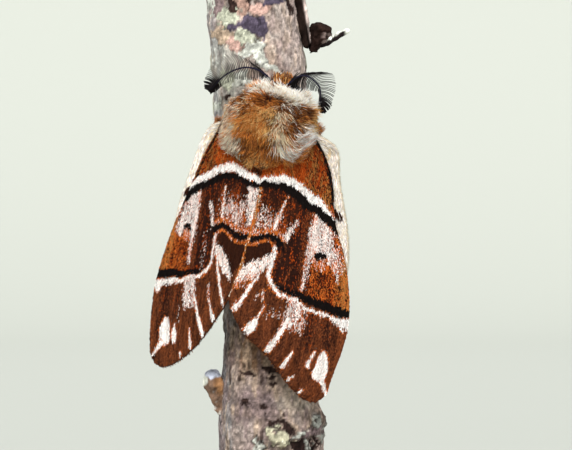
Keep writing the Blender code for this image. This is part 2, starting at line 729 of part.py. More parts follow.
def make_stem():
    finish = bpy.data.materials["bark"]
    bottom, top = STEM[0][0], STEM[-1][0]
    points, faces = [], []
    for r in range(STEM_RINGS + 1):
        z = bottom + (top - bottom) * r / STEM_RINGS
        middle, radius = stem_at(z)
        for j in range(STEM_SIDES):
            turn = 2 * pi * j / STEM_SIDES
            reach = radius + bark(turn, z)
            points.append(Vector((middle + reach * sin(turn), -reach * cos(turn), z)))
    for r in range(STEM_RINGS):
        for j in range(STEM_SIDES):
            a, b = r * STEM_SIDES + j, r * STEM_SIDES + (j + 1) % STEM_SIDES
            faces += [(a, b, b + STEM_SIDES), (a, b + STEM_SIDES, a + STEM_SIDES)]
    last = STEM_RINGS * STEM_SIDES
    faces.append(tuple(range(STEM_SIDES - 1, -1, -1)))
    faces.append(tuple(range(last, last + STEM_SIDES)))
    stem = faces_out(make("perch", points, faces, finish))
    growths = []
    for growth in (STRIP, BUD_SCALE, TWIG, LOW_BUD):
        path = [Vector(point) for point, radius in growth]
        growths.append(faces_out(tube("growth", path, [radius for point, radius in growth], 8, finish)))
    boolean(stem, growths, "UNION")


def make_stand():
    bpy.ops.mesh.primitive_cylinder_add(vertices=48, radius=BASE_RADIUS * MM, depth=BASE_HEIGHT * MM,
                                        location=(0, 0, BASE_HEIGHT * MM / 2))
    base = bpy.context.object
    base.name = "stand_base"
    base.data.materials.append(bpy.data.materials["stand_wood"])
    edge = base.modifiers.new("Bevel", "BEVEL")
    edge.width = BASE_BEVEL * MM
    edge.segments = 2
    edge.limit_method = "ANGLE"
    low, high = BASE_HEIGHT + GAP, STEM[0][0] - GAP
    bpy.ops.mesh.primitive_cylinder_add(vertices=24, radius=ROD_RADIUS * MM, depth=(high - low) * MM,
                                        location=(0, 0, (low + high) / 2 * MM))
    rod = bpy.context.object
    rod.name = "stand_rod"
    rod.data.materials.append(bpy.data.materials["stand_steel"])


def make_materials():
    material("wing_scales", (0.075, 0.012, 0.004), 0.75)
    material("hindwing_scales", (0.62, 0.50, 0.38), 0.8)
    material("coat_ochre", (0.20, 0.075, 0.018), 0.9)
    material("coat_brown", (0.10, 0.035, 0.012), 0.9)
    material("coat_grey", (0.25, 0.14, 0.08), 0.9)
    material("antenna", (0.022, 0.013, 0.013), 0.6)
    material("eye", (0.01, 0.008, 0.008), 0.15)
    material("leg", (0.20, 0.09, 0.04), 0.85)
    material("bark", (0.30, 0.19, 0.13), 0.95)
    material("stand_wood", (0.16, 0.09, 0.05), 0.45)
    material("stand_steel", (0.6, 0.6, 0.6), 0.3, 1.0)


def main():
    clear_scene()
    make_materials()
    make_wings()
    make_thorax()
    make_abdomen()
    make_head()
    make_eyes()
    make_antennae()
    make_legs()
    make_stem()
    make_stand()


main()
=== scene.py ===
"""The looks of the kentish glory moth, its stem and its stand, dressed round their solids.

Lengths are millimetres until a mesh is made. The moth has its own frame: x across the body
(viewer's right positive), s back from the middle of the thorax, h out from belly to back.
"""
from math import cos, pi, radians, sin, tan

import bpy
import numpy as np
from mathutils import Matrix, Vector
from mathutils.kdtree import KDTree

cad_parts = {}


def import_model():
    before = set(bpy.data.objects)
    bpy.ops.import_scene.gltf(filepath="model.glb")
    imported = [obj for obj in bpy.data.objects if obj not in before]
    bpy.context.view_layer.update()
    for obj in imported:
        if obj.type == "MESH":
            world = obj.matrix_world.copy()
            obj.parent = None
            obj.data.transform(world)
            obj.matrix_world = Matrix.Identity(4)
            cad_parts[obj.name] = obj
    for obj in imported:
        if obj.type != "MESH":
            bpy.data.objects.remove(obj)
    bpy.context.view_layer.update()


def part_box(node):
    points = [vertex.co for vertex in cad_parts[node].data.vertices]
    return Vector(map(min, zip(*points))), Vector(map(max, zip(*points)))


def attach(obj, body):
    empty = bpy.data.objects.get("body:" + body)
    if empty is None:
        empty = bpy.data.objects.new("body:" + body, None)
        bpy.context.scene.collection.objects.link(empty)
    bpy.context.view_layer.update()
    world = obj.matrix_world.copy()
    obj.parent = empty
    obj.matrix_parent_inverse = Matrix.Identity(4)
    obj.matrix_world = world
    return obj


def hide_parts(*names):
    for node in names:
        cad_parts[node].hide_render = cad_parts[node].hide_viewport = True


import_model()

MM = 0.001
BODY = "root"
TINY = 1e-9
# On the bake map: the size of one strand's or scale's patch, and how far the patches' corners reach
PATCH = 0.003
UV_REACH = 0.98

# The moth's frame in the world
THORAX_CENTRE = np.array([-0.11, -10.0, 52.09])
LEAN = radians(12.4)
ROLL = radians(20.0)
LEVEL_RIGHT = np.array([cos(LEAN), 0, -sin(LEAN)])
HEADWARD = np.array([sin(LEAN), 0, cos(LEAN)])
TO_VIEWER = np.array([0, -1.0, 0])
RIGHT = LEVEL_RIGHT * cos(ROLL) + TO_VIEWER * sin(ROLL)
BACKWARD = -HEADWARD
OUTWARD = TO_VIEWER * cos(ROLL) - LEVEL_RIGHT * sin(ROLL)
SIDES = {"left": -1, "right": 1}

# Camera: where it stands, and its lens on a 36 mm sensor
CAMERA_AT = (1.45, -307.44, 42.0)
LENS = 180.0
SENSOR = 36.0

# The roof that the folded wings make
ROOF_TOP = 4.85
ROOF_SLOPE = 0.617
ROOF_FALL = 0.23
RIDGE_ROUND = 1.2
LAYOUT_TOP = 4.65
FORE_LIFT = 0.16
FORE_GAP = 0.5
HIND_DROP = 0.62
MEMBRANE = 0.07
VEIN_RISE = 0.13
VEIN_WIDE = 0.24
WING_WIDE = 10.5
WING_WAVES = ((0.07, 3.0, 5), (0.03, 1.1, 6))
RIGHT_DIP = 0.16

# Wing outlines as (x, s), x counted outwards on either side
FOREWINGS = {
    "right": {
        "root": [(1.2, 3.6), (2.8, 2.6), (3.9, 1.0), (4.5, -0.8)],
        "inner": [(1.2, 3.6), (1.1, 7.0), (0.7, 11.0), (0.15, 15.0), (-0.55, 18.0)],
        "costa": [(4.5, -0.8), (5.3, -0.2), (6.6, 1.6), (7.7, 4.4), (8.4, 8.2), (10.0, 12.6), (10.9, 17.6),
                  (10.7, 21.0), (10.1, 24.2), (9.8, 26.0), (9.1, 26.95)],
        "termen": [(-0.55, 18.0), (0.0, 19.2), (1.6, 21.3), (3.9, 23.0), (6.1, 25.4), (7.8, 26.8),
                   (9.1, 26.95)],
    },
    "left": {
        "root": [(-1.2, 3.8), (1.2, 3.6), (2.8, 2.6), (3.8, 1.0), (4.0, -0.8)],
        "inner": [(-1.2, 3.8), (-1.0, 8.0), (-0.5, 13.0), (0.3, 17.4)],
        "costa": [(4.0, -0.8), (4.6, -0.1), (5.3, 1.6), (6.85, 4.5), (8.4, 8.5), (10.0, 12.5), (11.3, 17.3),
                  (11.65, 20.6), (11.4, 23.8), (10.95, 26.0), (10.2, 26.95)],
        "termen": [(0.3, 17.4), (1.3, 19.2), (3.6, 23.0), (6.1, 25.6), (8.6, 27.05), (10.2, 26.95)],
    },
}
HINDWINGS = {
    "right": {
        "root": [(2.6, 3.2), (3.8, 1.8), (4.7, -0.3)],
        "inner": [(2.6, 3.2), (2.7, 9.0), (2.8, 16.6)],
        "costa": [(4.7, -0.3), (6.7, 0.3), (7.5, 1.2), (7.9, 3.7), (8.85, 7.0), (9.6, 10.4),
                  (9.7, 14.0), (8.6, 18.4)],
        "termen": [(2.8, 16.6), (4.2, 18.8), (6.5, 19.7), (8.6, 18.4)],
    },
    "left": {
        "root": [(2.6, 3.2), (3.6, 1.8), (4.2, 0.3)],
        "inner": [(2.6, 3.2), (2.7, 9.0), (2.8, 16.6)],
        "costa": [(4.2, 0.3), (6.3, 1.0), (7.3, 2.2), (8.1, 4.3), (9.0, 7.2), (9.8, 10.4),
                  (10.1, 14.0), (9.0, 18.4)],
        "termen": [(2.8, 16.6), (4.2, 18.8), (6.7, 19.7), (9.0, 18.4)],
    },
}
# Dark marks of the hindwings' front edges: place back, reach inwards and length
HIND_MARKS = {"right": [(7.5, 0.6, 0.55), (11.4, 0.5, 0.5)], "left": [(8.3, 0.6, 0.55), (11.6, 0.5, 0.5)]}
FORE_VEINS = (0.10, 0.28, 0.45, 0.59, 0.69, 0.79, 0.90)
HIND_VEINS = (0.2, 0.42, 0.64, 0.84)


def srgb(red, green, blue):
    """A colour from its 0 to 255 screen values, as linear light."""
    value = np.array([red, green, blue]) / 255.0
    return np.where(value <= 0.04045, value / 12.92, ((value + 0.055) / 1.055) ** 2.4)


# Wing colours
BROWN = srgb(98, 52, 29)
DARK_BROWN = srgb(52, 24, 12)
CELL = srgb(46, 22, 14)
RED_BROWN = srgb(130, 68, 36)
BLACK = srgb(16, 10, 9)
RUST = srgb(176, 72, 18)
ORANGE = srgb(208, 110, 44)
OCHRE = srgb(166, 106, 52)
PINK_WHITE = srgb(240, 222, 216)
WHITE = srgb(255, 250, 247)
CREAM = srgb(250, 236, 214)
UNDER = srgb(150, 98, 62)
HIND_OCHRE = srgb(228, 200, 158)

# Mixes of scales, as (colour, weight)
BROWNS = [(DARK_BROWN, 2), (BROWN, 7), (RED_BROWN, 2)]
WHITES = [(WHITE, 9), (PINK_WHITE, 1)]
BLACKS = [(BLACK, 1)]
DARKS = [(DARK_BROWN, 1)]
REDS = [(RED_BROWN, 3), (BROWN, 1)]
ORANGES = [(ORANGE, 6), (RUST, 2), (PINK_WHITE, 1)]
SEAMS = [(ORANGE, 2), (OCHRE, 3), (CREAM, 1), (DARK_BROWN, 1)]
TANS = [(OCHRE, 5), (ORANGE, 2), (DARK_BROWN, 2)]
BASAL = [(RUST, 6), (ORANGE, 1.6), (DARK_BROWN, 1.6), (OCHRE, 0.8)]
SHOULDER = [(OCHRE, 4), (DARK_BROWN, 4), (RUST, 2)]
FIELD = [(DARK_BROWN, 7), (BROWN, 2.4), (RUST, 1.1)]
FROST = [(PINK_WHITE, 5), (RUST, 2), (DARK_BROWN, 1.6), (ORANGE, 1)]
DISC = [(PINK_WHITE, 6), (WHITE, 2.4), (RUST, 1), (DARK_BROWN, 0.8)]
CELLS = [(CELL, 8), (DARK_BROWN, 2.4), (RUST, 0.4)]
SPECKLED = [(ORANGE, 4), (RUST, 3.4), (DARK_BROWN, 3)]
WEDGE = [(PINK_WHITE, 4), (WHITE, 4), (ORANGE, 0.7)]

RUSTY_RIM = 0.13

# Markings of the two forewings, as areas and lines in their own (x, s), laid one over another:
# kind, mix, points, widths of a line at its ends, softness of the edge, share of the scales
RIGHT_MARKS = [
    ("area", BASAL, [(0.4, 2.5), (2.5, 0.5), (4.6, -0.8), (5.5, 1.2), (5.6, 4.4), (5.0, 5.2), (3, 4.8),
     (1, 5.6)], 0, 0.6, 1.0),
    ("area", SHOULDER, [(4.2, -1.0), (5.6, -0.6), (8.2, 5.8), (8.8, 8.0), (7.6, 7.3), (6.2, 5.9), (5.3, 5.0),
     (4.9, 2)], 0, 0.6, 1.0),
    ("area", FIELD, [(0.6, 5.9), (3, 5.6), (5.2, 6.6), (5.6, 9), (4.8, 11.3), (3.3, 10.7), (1, 10.9),
     (0.4, 9)], 0, 0.3, 1.0),
    ("area", FROST, [(0.7, 8.5), (3.1, 8.8), (3.6, 10.3), (2, 10.4), (0.6, 10.6)], 0, 1.8, 0.85),
    ("line", CELLS, [(1.3, 6.5), (3, 6.3), (4.5, 6.7), (5.8, 7.7)], (1.0, 1.3), 0.9, 0.7),
    ("line", WHITES, [(3.8, 6.6), (3.5, 7.4), (3.15, 9.0), (2.95, 10.0)], (0.07, 0.24), 0.06, 0.9),
    ("line", DISC, [(4.95, 8.7), (4.5, 9.6), (4.05, 10.8)], (0.35, 0.62), 0.22, 0.9),
    ("line", ORANGES, [(0.7, 11.0), (1.4, 10.7), (2.4, 10.3), (3.3, 10.4), (3.8, 10.9)], (0.5, 0.5), 0.4,
     0.8),
    ("area", CELLS, [(4.7, 7), (6.2, 7.4), (6.4, 10), (6.2, 16.2), (3.6, 16.2), (3.5, 14), (4.1, 12),
     (4.2, 11.3), (5.2, 9.2)], 0, 0.3, 1.0),
    ("area", REDS, [(5.5, 7.5), (6.6, 7.5), (6.6, 16), (5.7, 16)], 0, 0.6, 0.5),
    ("line", REDS, [(5.0, 13.4), (4.4, 15.4)], (0.12, 0.12), 0.1, 0.8),
    ("area", SPECKLED, [(6.3, 7.3), (8.8, 8.8), (10.9, 17), (5.9, 16.4), (6.1, 10)], 0, 0.4, 1.0),
    ("area", DARKS, [(6.6, 13.2), (10.2, 13.2), (10.9, 17), (6.2, 16.4)], 0, 0.9, 0.34),
    ("area", TANS, [(8.7, 8.6), (9.2, 8.8), (11.0, 17.2), (9.5, 16.6), (9.2, 12.5)], 0, 0.6, 0.9),
    ("area", DISC, [(6.5, 7.6), (7.4, 7.9), (8.2, 9.2), (8.7, 11.4), (8.3, 12.4), (8.0, 12.2), (6.8, 12.5),
     (6.2, 10)], 0, 0.7, 0.93),
    ("line", FROST, [(8.3, 8.9), (8.9, 10.5), (9.2, 12.8)], (0.5, 0.8), 0.5, 0.6),
    ("line", DISC, [(6.45, 9), (6.35, 12), (6.25, 15.4)], (0.7, 0.3), 0.3, 0.75),
    ("line", DISC, [(8.6, 11.5), (9.2, 14.0)], (0.7, 0.2), 0.3, 0.6),
    ("area", ORANGES, [(6.95, 12.0), (7.9, 12.0), (8.0, 13.3), (7.1, 13.4)], 0, 0.3, 0.9),
    ("line", BLACKS, [(0.3, 11.75), (1.3, 11.5), (2.2, 11.05), (3, 10.95), (3.5, 11.2), (3.8, 12)],
     (0.62, 0.62), 0.1, 1.0),
    ("line", CELLS, [(3.75, 11.8), (3.5, 13.5), (3.4, 15), (3.7, 15.8)], (0.45, 0.4), 0.2, 1.0),
    ("area", DARKS, [(0.1, 12.0), (1.3, 11.8), (2.4, 11.4), (3.1, 11.7), (3.0, 12.9), (1.2, 14.1),
     (-0.1, 14.8)], 0, 0.2, 1.0),
    ("line", ORANGES, [(0.1, 12.25), (1.3, 12.0), (2.2, 11.5), (2.9, 11.5), (3.2, 11.9)], (0.26, 0.24), 0.1,
     0.95),
    ("line", BLACKS, [(3.6, 15.6), (4.2, 16.0), (5, 16.15), (6, 16.25), (7, 16.55)], (0.3, 0.9), 0.12, 0.95),
    ("line", BLACKS, [(6, 16.25), (7, 16.5), (8, 16.75), (9, 16.9), (10, 17.15), (11.1, 17.45)], (0.8, 1.15),
     0.12, 1.0),
    ("line", ORANGES, [(3.2, 15.9), (4.1, 16.8), (5.5, 17.0), (6.4, 17.4), (8.5, 17.8)], (0.42, 0.42), 0.2,
     0.6),
    ("line", WHITES, [(3.25, 11.9), (3.2, 13), (3.0, 14.6), (3.15, 15.3), (3.6, 16.0), (4.1, 16.55),
     (5, 16.75), (5.6, 16.75), (6.1, 17.0), (6.6, 17.4), (7.5, 17.6), (9, 17.75), (9.8, 18.1)], (0.24, 0.36),
     0.07, 0.98),
    ("area", WHITES, [(9.0, 17.6), (9.8, 17.75), (11.0, 17.5), (10.95, 18.6), (10.3, 19.25), (9.9, 18.5),
     (9.1, 18.0)], 0, 0.1, 1.0),
    ("area", WEDGE, [(3.15, 12.6), (3.0, 13.7), (2.4, 14.6), (1.6, 15.6), (0.8, 16.1), (-0.3, 16.6),
     (-0.4, 16.0), (0.2, 15.0), (1.1, 14.1), (2, 13.3)], 0, 0.3, 0.92),
    ("area", ORANGES, [(1.3, 15.3), (2.0, 14.9), (1.0, 16.6), (-0.3, 17.2), (-0.3, 16.5)], 0, 0.4, 0.55),
    ("line", WHITES, [(2.15, 14.9), (1.35, 16.9), (0.42, 19.1)], (0.14, 0.38), 0.06, 1.0),
    ("line", FROST, [(3.4, 18.9), (4.2, 18.6), (4.9, 19.1)], (0.7, 0.7), 0.5, 0.35),
    ("line", WHITES, [(3.0, 18.1), (2.4, 19.7)], (0.08, 0.18), 0.06, 0.9),
    ("area", WHITES, [(2.35, 19.5), (2.7, 19.8), (2.5, 20.6), (2.15, 21.1), (1.85, 21.45), (1.45, 21.15),
     (1.75, 20.4)], 0, 0.08, 1.0),
    ("area", FROST, [(5.1, 17.1), (7.0, 17.6), (7.1, 18.6), (6.6, 20.3), (5.7, 19.9), (4.9, 20.2),
     (5.0, 18.6)], 0, 0.5, 0.85),
    ("area", DISC, [(5.3, 17.0), (6.3, 17.1), (6.3, 19.2), (5.2, 19.8)], 0, 0.4, 0.85),
    ("line", WHITES, [(5.3, 18.9), (4.85, 20.3), (3.85, 22.7)], (0.28, 0.5), 0.07, 1.0),
    ("line", WHITES, [(6.15, 22.2), (5.8, 23.0), (5.4, 23.95)], (0.10, 0.36), 0.06, 1.0),
    ("line", WHITES, [(6.5, 24.65), (6.2, 24.95), (6.0, 25.3)], (0.10, 0.24), 0.06, 1.0),
    ("line", WHITES, [(7.5, 25.85), (7.25, 26.4)], (0.10, 0.18), 0.06, 1.0),
    ("line", WHITES, [(2.7, 16.6), (2.75, 17.5)], (0.2, 0.12), 0.2, 0.6),
    ("line", DISC, [(2.3, 17.0), (2.1, 17.6)], (0.2, 0.12), 0.2, 0.5),
    ("line", CELLS, [(7.3, 18.3), (7.4, 21.4)], (1.0, 0.7), 0.7, 0.75),
    ("line", CELLS, [(8.9, 18.5), (9.1, 21.0)], (1.0, 0.5), 0.7, 0.7),
    ("line", REDS, [(10.5, 19.2), (10.3, 22.0), (9.8, 25.4)], (0.8, 0.8), 0.5, 0.6),
    ("area", WHITES, [(8.85, 21.4), (9.15, 21.45), (9.4, 22.3), (9.5, 23.3), (9.4, 24.3), (9.3, 24.9),
     (8.9, 24.7), (8.35, 24.4), (8.1, 24.0), (8.4, 23.1), (8.55, 22.2)], 0, 0.07, 1.0),
    ("line", WHITES, [(9.15, 24.6), (9.45, 25.3), (9.6, 25.7), (9.85, 26.1)], (0.4, 0.16), 0.08, 1.0),
    ("line", WHITES, [(8.15, 21.7), (7.88, 22.4), (7.68, 22.9), (7.72, 23.3)], (0.12, 0.32), 0.08, 0.95),
    ("area", WHITES, [(0.9, 5.25), (2, 4.75), (3, 4.4), (4, 4.5), (5, 5.0), (6, 5.6), (7, 6.2), (7.6, 6.9),
     (8.4, 7.9), (8.3, 8.2), (7.7, 7.7), (7, 7.1), (6.3, 6.7), (5.6, 6.7), (5.1, 6.2), (4.8, 5.8), (4, 5.35),
     (3, 5.25), (2, 5.5), (0.9, 5.9)], 0, 0.14, 1.0),
    ("line", BLACKS, [(0.6, 5.85), (2, 5.7), (3, 5.58), (4, 5.85), (5, 6.45)], (0.6, 1.0), 0.12, 1.0),
    ("line", BLACKS, [(4.8, 6.35), (5.6, 6.95), (6.3, 7.1), (7, 7.5), (8, 8.2), (8.8, 8.9)], (0.85, 0.9),
     0.12, 1.0),
    ("line", BLACKS, [(4.6, -0.7), (5.15, -0.1), (6.42, 1.6), (7.5, 4.4), (7.9, 6.2)], (0.34, 0.40), 0.12,
     0.95),
    ("line", BLACKS, [(7.1, 12.1), (7.12, 11.78), (7.32, 11.6), (7.55, 11.75)], (0.5, 0.7), 0.05, 1.0),
    ("line", SEAMS, [(1.2, 6.2), (1.0, 9.3), (0.76, 11.0), (0.56, 12.3), (0.3, 14.8), (0.0, 16.0),
     (-0.5, 17.7)], (0.46, 0.42), 0.1, 0.97),
    ("line", DARKS, [(-0.55, 18.0), (0.0, 19.2), (1.6, 21.3), (3.9, 23.0), (6.1, 25.4), (7.8, 26.8),
     (9.1, 26.95), (9.8, 26.2), (10.2, 24.2)], (0.14, 0.14), 0.08, 0.7),
]
LEFT_MARKS = [
    ("area", BASAL, [(-1.2, 2.5), (0.4, 2.5), (2.5, 0.5), (4.2, -0.8), (5.0, 1.8), (5.4, 4.4), (4.0, 4.9),
     (2, 4.4), (0, 5.2)], 0, 0.6, 1.0),
    ("area", SHOULDER, [(4.0, 0.6), (5.0, 0.6), (7.1, 4.4), (8.6, 8.3), (7.4, 7.2), (6.2, 6.1), (5.2, 5.2),
     (4.7, 3)], 0, 0.6, 1.0),
    ("area", FIELD, [(-1.2, 5.9), (1.5, 5.7), (3.5, 5.8), (5.6, 7.2), (5.6, 9), (4.6, 11.3), (3, 10.7),
     (-1, 11.2)], 0, 0.3, 1.0),
    ("area", FROST, [(-0.4, 8.0), (2.9, 8.0), (3.2, 10.1), (2, 10.2), (-0.6, 10.9)], 0, 1.6, 0.9),
    ("line", CELLS, [(0.2, 6.6), (2, 6.3), (3.5, 6.6), (5.2, 7.6)], (1.0, 1.3), 0.9, 0.7),
    ("area", DISC, [(-1.3, 6.3), (-0.3, 6.3), (-0.2, 7.8), (-0.6, 10.3), (-1.3, 10.6)], 0, 0.5, 0.95),
    ("line", WHITES, [(2.95, 6.7), (2.95, 8.0), (2.85, 10.2)], (0.10, 0.24), 0.08, 0.9),
    ("line", DISC, [(4.7, 8.8), (4.45, 9.8), (4.1, 11.0)], (0.4, 0.6), 0.25, 0.9),
    ("line", ORANGES, [(-1, 10.9), (0.2, 10.9), (1.5, 10.4), (2.8, 10.25), (3.7, 10.6)], (0.5, 0.5), 0.4,
     0.8),
    ("area", CELLS, [(4.3, 7.2), (6.1, 7.6), (6.3, 10), (6.6, 16.2), (3.9, 16.2), (3.8, 14), (4.0, 12),
     (4.1, 11.3), (4.9, 9.2)], 0, 0.3, 1.0),
    ("line", DISC, [(4.9, 12.0), (5.0, 16)], (0.5, 0.5), 0.4, 0.14),
    ("area", REDS, [(5.6, 7.7), (6.6, 7.7), (6.9, 16), (6.2, 16)], 0, 0.6, 0.5),
    ("area", SPECKLED, [(6.5, 7.5), (8.8, 8.9), (11.2, 17), (6.7, 16.4), (6.5, 10)], 0, 0.4, 1.0),
    ("area", DARKS, [(7.0, 13.2), (10.4, 13.2), (11.2, 17), (6.8, 16.4)], 0, 0.9, 0.34),
    ("area", TANS, [(8.9, 8.8), (9.2, 8.9), (11.4, 17.2), (10.0, 16.6), (9.6, 12.5)], 0, 0.6, 0.9),
    ("area", DISC, [(6.5, 7.6), (7.6, 8.2), (8.9, 9.8), (9.5, 12.4), (8.8, 12.9), (8.2, 12.2), (7.2, 12.8),
     (6.5, 13.0), (6.4, 10)], 0, 0.5, 0.98),
    ("line", DISC, [(6.95, 12), (6.95, 15.4)], (0.55, 0.3), 0.3, 0.75),
    ("area", ORANGES, [(7.35, 12.1), (8.3, 12.1), (8.2, 13.2), (7.5, 13.3)], 0, 0.3, 0.9),
    ("line", BLACKS, [(-1.2, 11.5), (0.2, 11.6), (1, 11.4), (2, 10.95), (3, 10.9), (3.7, 11.3), (3.95, 12)],
     (0.55, 0.62), 0.1, 1.0),
    ("line", CELLS, [(3.95, 11.8), (3.9, 13.5), (3.9, 15), (4.3, 15.7)], (0.4, 0.4), 0.2, 1.0),
    ("area", DARKS, [(-1.2, 12), (0.2, 12.3), (1.2, 12.0), (2.4, 11.5), (3.1, 12.0), (2.6, 13.3),
     (1.8, 15.2), (0.4, 15.6), (-0.6, 14)], 0, 0.25, 1.0),
    ("line", ORANGES, [(-1.0, 12.0), (0.2, 12.2), (1.1, 11.95), (2.2, 11.45), (3.0, 11.45), (3.4, 11.9),
     (3.4, 12.8)], (0.32, 0.24), 0.12, 0.95),
    ("line", BLACKS, [(4.2, 15.8), (5, 16.05), (6, 16.3), (7, 16.6)], (0.3, 0.85), 0.12, 0.95),
    ("line", BLACKS, [(6, 16.3), (7, 16.6), (8, 16.9), (9, 17.0), (10, 17.2), (11.6, 17.65)], (0.8, 1.15),
     0.12, 1.0),
    ("line", ORANGES, [(3.7, 15.4), (4.7, 16.5), (6.2, 17.0), (7.2, 17.4)], (0.45, 0.45), 0.2, 0.6),
    ("line", WHITES, [(3.55, 12.0), (3.6, 13.5), (3.6, 14.8), (4.0, 15.6), (4.8, 16.4), (5.6, 16.75),
     (6.4, 16.85), (7, 17.15), (7.6, 17.55), (8.6, 17.7)], (0.24, 0.36), 0.08, 0.97),
    ("area", WHITES, [(8.2, 17.4), (9.0, 17.4), (10.2, 17.8), (11.2, 18.0), (11.8, 18.1), (11.7, 19.0),
     (11.2, 19.45), (10.5, 18.7), (9.0, 18.1)], 0, 0.1, 1.0),
    ("area", WEDGE, [(3.35, 12.7), (3.3, 13.9), (2.6, 14.9), (1.6, 15.7), (0.6, 16.3), (0.5, 15.8),
     (1.2, 14.5), (2.2, 13.3)], 0, 0.3, 0.95),
    ("line", WHITES, [(3.0, 13.8), (2.3, 16.2), (1.15, 18.95)], (0.2, 0.3), 0.07, 1.0),
    ("line", WHITES, [(3.6, 17.2), (3.2, 19.0)], (0.2, 0.14), 0.2, 0.5),
    ("line", WHITES, [(3.15, 18.9), (2.15, 21.05)], (0.16, 0.42), 0.07, 1.0),
    ("area", DISC, [(5.6, 16.9), (7.2, 17.3), (7.2, 19.0), (6.7, 20.4), (5.9, 19.9), (5.1, 20.0),
     (5.5, 18.5)], 0, 0.4, 0.9),
    ("line", WHITES, [(5.5, 18.7), (4.7, 20.4), (3.5, 22.65)], (0.30, 0.46), 0.07, 1.0),
    ("line", WHITES, [(5.65, 22.2), (5.4, 23.2), (5.1, 24.15)], (0.12, 0.34), 0.07, 1.0),
    ("line", WHITES, [(6.5, 24.9), (6.4, 25.6)], (0.12, 0.22), 0.07, 1.0),
    ("line", DISC, [(7.6, 20.2), (7.3, 21.8)], (0.3, 0.2), 0.3, 0.2),
    ("line", CELLS, [(7.9, 18.4), (8.0, 21.4)], (0.9, 0.6), 0.7, 0.7),
    ("line", CELLS, [(9.6, 19.0), (9.8, 24.0)], (1.6, 1.2), 0.8, 0.7),
    ("line", REDS, [(11.3, 19.8), (11.2, 22.0), (10.9, 25.0)], (0.7, 0.7), 0.5, 0.6),
    ("area", WHITES, [(8.9, 21.7), (9.5, 21.85), (9.9, 22.5), (10.0, 23.6), (9.9, 24.5), (9.7, 24.95),
     (8.9, 24.7), (8.35, 24.2), (8.4, 23.2), (8.65, 22.3)], 0, 0.07, 1.0),
    ("line", WHITES, [(9.5, 24.6), (10.1, 25.3), (10.3, 25.8), (10.8, 26.4)], (0.5, 0.2), 0.08, 1.0),
    ("area", WHITES, [(7.8, 22.25), (8.15, 22.9), (8.1, 23.7), (7.85, 24.15), (7.4, 23.9), (7.35, 23.1)], 0,
     0.08, 1.0),
    ("line", DARKS, [(10.1, 26.1), (10.9, 26.7)], (0.5, 0.3), 0.2, 0.8),
    ("line", WHITES, [(-1.2, 5.5), (0, 5.2), (1, 4.9), (2, 4.65), (3, 4.8), (4, 5.15), (5, 5.75), (6, 6.3),
     (7, 6.85), (8.3, 7.85)], (0.72, 0.85), 0.14, 1.0),
    ("line", BLACKS, [(-1.2, 6.05), (0, 5.95), (1, 5.7), (2, 5.52), (3, 5.72), (4, 6.1), (5, 6.68),
     (6, 7.05), (7, 7.55), (8.1, 8.3), (9.0, 9.1)], (0.62, 0.9), 0.12, 1.0),
    ("line", BLACKS, [(4.2, -0.1), (4.9, 1.2), (5.7, 2.8), (6.6, 4.5), (7.4, 6.4)], (0.3, 0.2), 0.12, 0.9),
    ("line", BLACKS, [(7.4, 12.0), (7.55, 11.7), (7.85, 11.6), (8.15, 11.8)], (0.46, 0.5), 0.05, 1.0),
    ("line", DARKS, [(0.3, 17.4), (1.3, 19.2), (3.6, 23.0), (6.1, 25.6), (8.6, 27.05), (10.2, 26.95),
     (11.0, 26.0), (11.5, 23.8)], (0.14, 0.14), 0.08, 0.7),
]
MARKS = {"right": RIGHT_MARKS, "left": LEFT_MARKS}


def hashed(cells, seed):
    """A fixed random value from 0 to 1 for each whole-number cell."""
    i, j, k = cells[..., 0], cells[..., 1], cells[..., 2]
    n = (i * 374761393 + j * 668265263 + k * 1440662683 + seed * 974634777) & 0xFFFFFFFF
    n = ((n ^ (n >> 13)) * 1274126177) & 0xFFFFFFFF
    return ((n ^ (n >> 16)) & 0xFFFF) / 65535.0


def noise(points, size, seed=0, octaves=1):
    """Smooth noise from -1 to 1 with features of about the given size."""
    total, weight = 0.0, 0.0
    for octave in range(octaves):
        at = points / size * 2 ** octave
        cell = np.floor(at).astype(np.int64)
        part = at - cell
        part = part * part * (3 - 2 * part)
        value = 0.0
        for corner in np.ndindex(2, 2, 2):
            share = np.prod(np.where(corner, part, 1 - part), axis=-1)
            value = value + share * hashed(cell + np.array(corner), seed + octave)
        total = total + (value * 2 - 1) * 0.5 ** octave
        weight += 0.5 ** octave
    return total / weight


def step(value, low, high):
    """A smooth rise from 0 at low to 1 at high."""
    t = np.clip((value - low) / (high - low), 0, 1)
    return t * t * (3 - 2 * t)


def unit(vectors):
    return vectors / np.maximum(np.linalg.norm(vectors, axis=-1, keepdims=True), TINY)


def world(x, s, h):
    """Points of the moth's frame, in world millimetres."""
    x, s, h = np.broadcast_arrays(x, s, h)
    return THORAX_CENTRE + x[..., None] * RIGHT + s[..., None] * BACKWARD + h[..., None] * OUTWARD


def placed(points):
    """World points of points (x, s, h) of the moth's frame."""
    return world(points[..., 0], points[..., 1], points[..., 2])


def rank(values):
    """Where each value stands among all of them, from 0 to 1."""
    return np.argsort(np.argsort(values)) / len(values)


def mixed(mix, luck, draw):
    """Scale colours from a mix of colours and their shares, taken in turn as luck runs from 0 to 1."""
    shares = np.cumsum([share for _, share in mix]) / sum(share for _, share in mix)
    luck = np.clip(luck + 0.15 * draw.normal(size=len(luck)), 0, 0.999)
    palette = np.array([colour for colour, _ in mix])
    return palette[np.searchsorted(shares, luck, side="right").clip(0, len(mix) - 1)]


